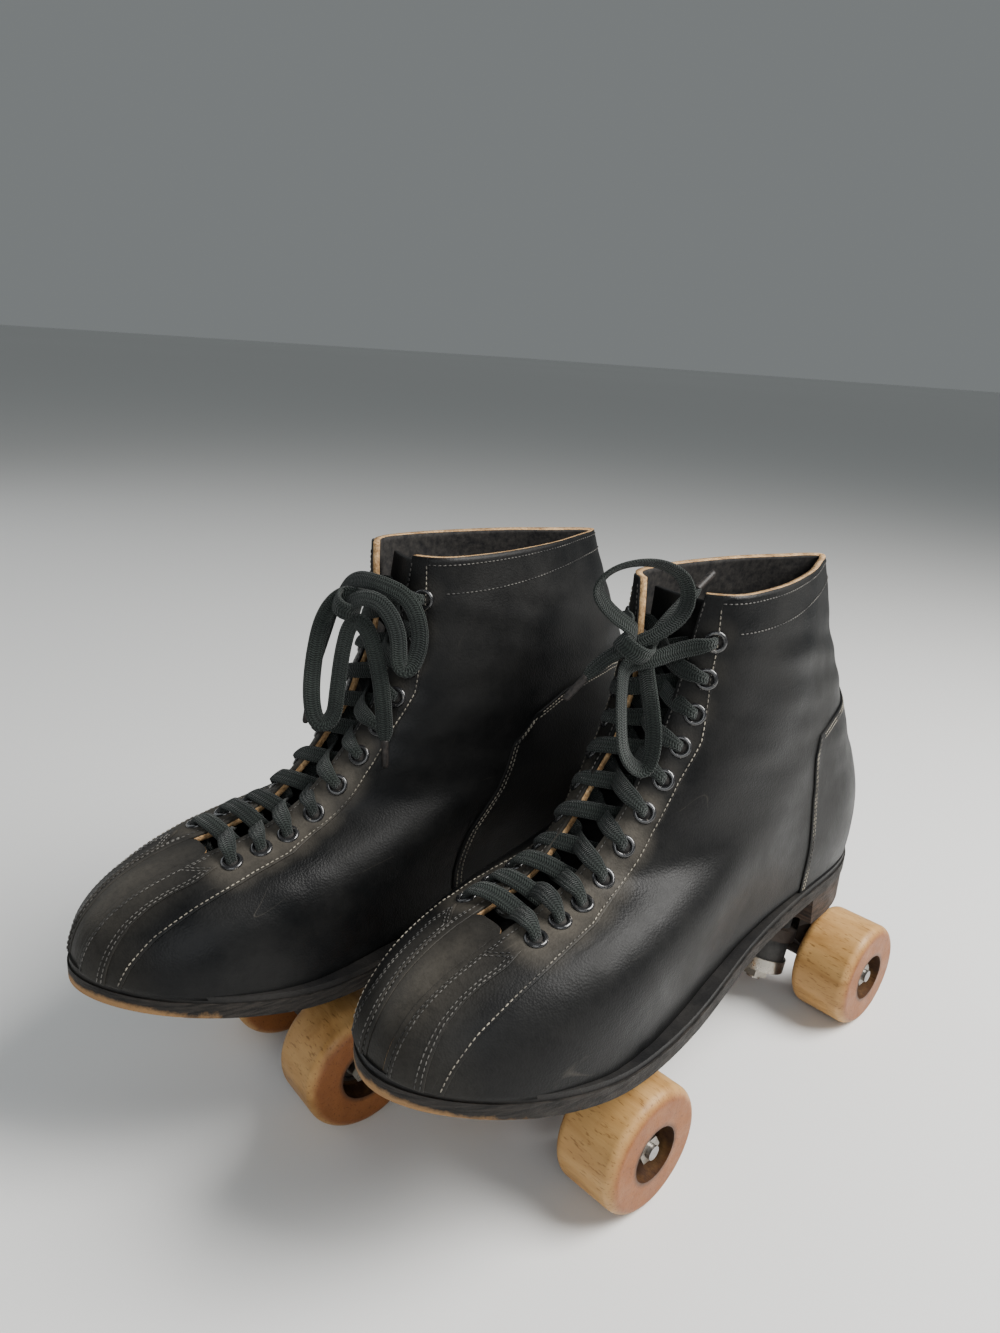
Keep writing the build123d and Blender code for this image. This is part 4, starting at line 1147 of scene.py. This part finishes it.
def make_sole_leather(name, dark, mid, bare, low_z, high_z, toe_y, layer_gap=0.0):
    """Edge-dyed sole leather that is rubbed bare towards the floor side at the toe."""
    material, tree, shader = new_material(name, Specular_IOR_Level=0.15)
    place = object_place(tree)
    apart = add_node(tree, "ShaderNodeSeparateXYZ", [("Vector", place)])
    rough_noise = noise_on(tree, place, 70.0, 8.0, 0.72)
    fine = noise_on(tree, place, 520.0, 6.0, 0.65)
    stretch = add_node(tree, "ShaderNodeMapping", [("Vector", place)], Scale=(1, 1, 9))
    strata = noise_on(tree, stretch.outputs["Vector"], 95.0, 5.0)
    base = ramp(tree, strata, (0.36, dark), (0.66, mid))
    toe = spread(tree, apart.outputs["Y"], (toe_y + 0.055, toe_y + 0.01))
    rise = calculate(tree, "MULTIPLY", apart.outputs["Y"], TOE_SPRING)
    over = calculate(tree, "ADD", apart.outputs["Z"], rise)
    low = spread(tree, over, (high_z, low_z))
    rubbed = calculate(tree, "MULTIPLY", toe, low)
    rubbed = calculate(tree, "ADD", calculate(tree, "MULTIPLY", rubbed, 1.45),
                       calculate(tree, "MULTIPLY_ADD", rough_noise, 2.4, -1.45))
    colour = mix_colour(tree, ramp(tree, rubbed, (0.15, (0, 0, 0)), (0.75, (1, 1, 1))), base, bare)
    if layer_gap:
        wave = calculate(tree, "FRACT", calculate(tree, "MULTIPLY", apart.outputs["Z"], 1 / layer_gap))
        glue, plain = (0.25, 0.2, 0.18), (1, 1, 1)
        line = ramp(tree, wave, (0.0, glue), (0.10, plain), (0.9, plain), (1.0, glue))
        colour = mix_colour(tree, 0.8, colour, line, "MULTIPLY")
    tree.links.new(colour, shader.inputs["Base Color"])
    gloss = spread(tree, rough_noise, (0.3, 0.7), (0.42, 0.8))
    tree.links.new(gloss, shader.inputs["Roughness"])
    use_bump(tree, shader, calculate(tree, "ADD", fine, strata), 0.6, 0.0006)
    return material


def dress(name, material):
    """Gives a CAD node its finished material."""
    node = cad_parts[name]
    node.data.materials.clear()
    node.data.materials.append(material)


for side in ("left", "right"):
    low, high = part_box(side + "_outsole")
    tip_z = high.z - 0.0065 + TOE_SPRING * low.y
    sole = make_sole_leather(side + "_outsole_leather", (0.010, 0.0095, 0.009), (0.030, 0.026, 0.023),
                             (0.27, 0.155, 0.068), tip_z, tip_z + 0.0045, low.y)
    dress(side + "_outsole", sole)
    low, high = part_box(side + "_heel_stack")
    heel = make_sole_leather(side + "_heel_leather", (0.018, 0.014, 0.012), (0.060, 0.038, 0.027),
                             (0.10, 0.062, 0.042), low.z, high.z, -9.0, (high.z - low.z) / HEEL_LIFTS)
    dress(side + "_heel_stack", heel)
welt_leather = make_leather("welt_leather", (0.010, 0.010, 0.0105), (0.030, 0.028, 0.026), (0.06, 0.05, 0.04),
                            rough=(0.4, 0.62), cells=900.0)
footbed = make_leather("footbed_leather", (0.060, 0.040, 0.026), (0.11, 0.075, 0.048), (0.2, 0.15, 0.1),
                       rough=(0.55, 0.75), cells=800.0)
for side in ("left", "right"):
    dress(side + "_welt", welt_leather)
    dress(side + "_insole", footbed)

# ---------------------------------------------------------------- plates and trucks
# Cast plates and hangers with a grey-brown worn finish; nickel-plated kingpins, cups, axles, nuts
# and screws; black rubber cushions between plate, hanger and cup.
metal_group, group_in, group_out = effect_group(
    "metal_wear", (("Place", "NodeSocketVector", None), ("Size", "NodeSocketFloat", 60.0)),
    (("Stain", "NodeSocketFloat"), ("Scratches", "NodeSocketFloat")),
)
place = group_in.outputs["Place"]
stain = add_node(metal_group, "ShaderNodeTexNoise", [("Vector", place), ("Scale", group_in.outputs["Size"])],
                 Detail=8.0, Roughness=0.7)
fine = noise_on(metal_group, place, 900.0, 4.0)
metal_group.links.new(stain.outputs["Fac"], group_out.inputs["Stain"])
metal_group.links.new(fine, group_out.inputs["Scratches"])


def make_metal(name, clean, dirty, rough, metallic, stain_from=0.5, bump=0.15, size=60.0):
    """Plated or cast metal with stains that dull it."""
    material, tree, shader = new_material(name)
    place = object_place(tree)
    wear = add_node(tree, "ShaderNodeGroup", [("Place", place)], node_tree=metal_group, Size=size)
    mask = ramp(tree, wear.outputs["Stain"], (stain_from, (0, 0, 0)), (stain_from + 0.16, (1, 1, 1)))
    tree.links.new(mix_colour(tree, mask, clean, dirty), shader.inputs["Base Color"])
    gloss = spread(tree, wear.outputs["Stain"], (0.35, 0.75), rough)
    tree.links.new(gloss, shader.inputs["Roughness"])
    shine = spread(tree, mask, (0.0, 1.0), metallic)
    tree.links.new(shine, shader.inputs["Metallic"])
    use_bump(tree, shader, wear.outputs["Scratches"], bump, 0.0003)
    return material


nickel = make_metal("nickel_plate", (0.36, 0.34, 0.30), (0.12, 0.090, 0.060), (0.24, 0.5), (1.0, 0.75))
bright_steel = make_metal("bright_steel", (0.34, 0.33, 0.32), (0.12, 0.10, 0.08), (0.26, 0.5), (1.0, 0.8),
                          0.54)
cast_metal = make_metal("cast_metal", (0.060, 0.050, 0.044), (0.032, 0.022, 0.016), (0.42, 0.7),
                        (0.75, 0.35), 0.46, bump=0.45)
plate_metal = make_metal("plate_metal", (0.40, 0.38, 0.35), (0.13, 0.10, 0.08), (0.3, 0.6), (0.95, 0.6),
                         0.48, bump=0.3)
bearing_steel = make_metal("bearing_steel", (0.10, 0.095, 0.09), (0.025, 0.020, 0.017), (0.3, 0.62),
                           (0.9, 0.4), 0.45, size=140.0)

rubber, tree, shader = new_material("black_rubber", Roughness=0.75)
place = object_place(tree)
bloom = noise_on(tree, place, 180.0, 7.0, 0.7)
tree.links.new(ramp(tree, bloom, (0.35, (0.010, 0.010, 0.010)), (0.72, (0.045, 0.042, 0.038))),
               shader.inputs["Base Color"])
use_bump(tree, shader, bloom, 0.4, 0.0004)

for side in ("left", "right"):
    dress(side + "_sole_plate", plate_metal)
    dress(side + "_plate_screws", nickel)
    for end in ("front", "rear"):
        for part, finish in (("action_bolt", nickel), ("cushions", rubber), ("hanger", cast_metal),
                             ("axle", bright_steel), ("axle_nuts", nickel)):
            dress(f"{side}_{end}_{part}", finish)

# ---------------------------------------------------------------- wheels and bearings
# Turned maple wheels, pale on the tread, their faces stained red-brown by oil and handling, each
# with a dark steel bearing pressed into its bore and painted shade on the wood round the bore.


def make_maple(name, centre, heading, seed):
    """Maple seen across the grain on the tread and stained on the faces of one wheel."""
    material, tree, shader = new_material(name, Specular_IOR_Level=0.3)
    place = object_place(tree)
    local = add_node(tree, "ShaderNodeMapping", [("Vector", place)], vector_type="TEXTURE", Location=centre,
                     Rotation=(0, 0, heading))
    apart = add_node(tree, "ShaderNodeSeparateXYZ", [("Vector", local.outputs["Vector"])])
    stretched = add_node(tree, "ShaderNodeMapping", [("Vector", local.outputs["Vector"])],
                         Scale=(0.55, 3.0, 2.2), Rotation=(seed * 1.7, 0.15, 0.08 * seed),
                         Location=(seed, seed * 2.0, seed * 3.0))
    rings = noise_on(tree, stretched.outputs["Vector"], 34.0, 7.0, 0.6, 0.7)
    flecks = noise_on(tree, stretched.outputs["Vector"], 420.0, 3.0)
    pale = ramp(tree, rings, (0.34, (0.31, 0.160, 0.050)), (0.50, (0.42, 0.235, 0.082)),
                (0.68, (0.50, 0.300, 0.115)))
    squares = [calculate(tree, "MULTIPLY", apart.outputs[way], apart.outputs[way]) for way in ("Y", "Z")]
    radius = calculate(tree, "SQRT", calculate(tree, "ADD", *squares))
    across = calculate(tree, "ABSOLUTE", apart.outputs["X"])
    grime = noise_on(tree, local.outputs["Vector"], 75.0, 8.0, 0.7)
    face = spread(tree, across, (0.0128, 0.0155))
    inner = spread(tree, radius, (0.0285, 0.0245))
    uneven = calculate(tree, "MULTIPLY_ADD", grime, 0.9, 0.62)
    stained = calculate(tree, "MULTIPLY", calculate(tree, "MULTIPLY", face, inner), uneven, clamp=True)
    oiled = mix_colour(tree, stained, pale, mix_colour(tree, rings, (0.16, 0.050, 0.014),
                                                       (0.30, 0.115, 0.034)))
    # Painted shade: the wood within about 15 mm of the axle is darkened to stand for the shaded recess round
    # the bearing.
    recess_shade_mask = spread(tree, radius, (0.0150, 0.0125))
    uneven = calculate(tree, "MULTIPLY_ADD", grime, 1.3, 0.35)
    recess_shade = calculate(tree, "MULTIPLY", recess_shade_mask, uneven, clamp=True)
    colour = mix_colour(tree, recess_shade, oiled, (0.045, 0.022, 0.012))
    pits = ramp(tree, flecks, (0.30, (0.42, 0.34, 0.26)), (0.42, (1, 1, 1)))
    colour = mix_colour(tree, 0.75, colour, pits, "MULTIPLY")
    scuffed = ramp(tree, grime, (0.58, (1, 1, 1)), (0.78, (0.55, 0.47, 0.40)))
    colour = mix_colour(tree, 0.6, colour, scuffed, "MULTIPLY")
    tree.links.new(colour, shader.inputs["Base Color"])
    gloss = spread(tree, grime, (0.3, 0.7), (0.34, 0.6))
    tree.links.new(gloss, shader.inputs["Roughness"])
    use_bump(tree, shader, calculate(tree, "ADD", flecks, rings), 0.25, 0.0004)
    return material


wheel_number = 0
for side in ("left", "right"):
    front, rear = middle_of(side + "_front_axle"), middle_of(side + "_rear_axle")
    angle = math.atan2((rear - front).y, (rear - front).x) - math.pi / 2
    for end in ("front", "rear"):
        for where in ("lateral", "medial"):
            wheel_number += 1
            wheel = f"{side}_{end}_{where}_wheel"
            maple = make_maple(f"maple_{wheel_number}", middle_of(wheel), angle, wheel_number)
            dress(wheel, maple)
            dress(f"{side}_{end}_{where}_bearing", bearing_steel)

low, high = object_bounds()
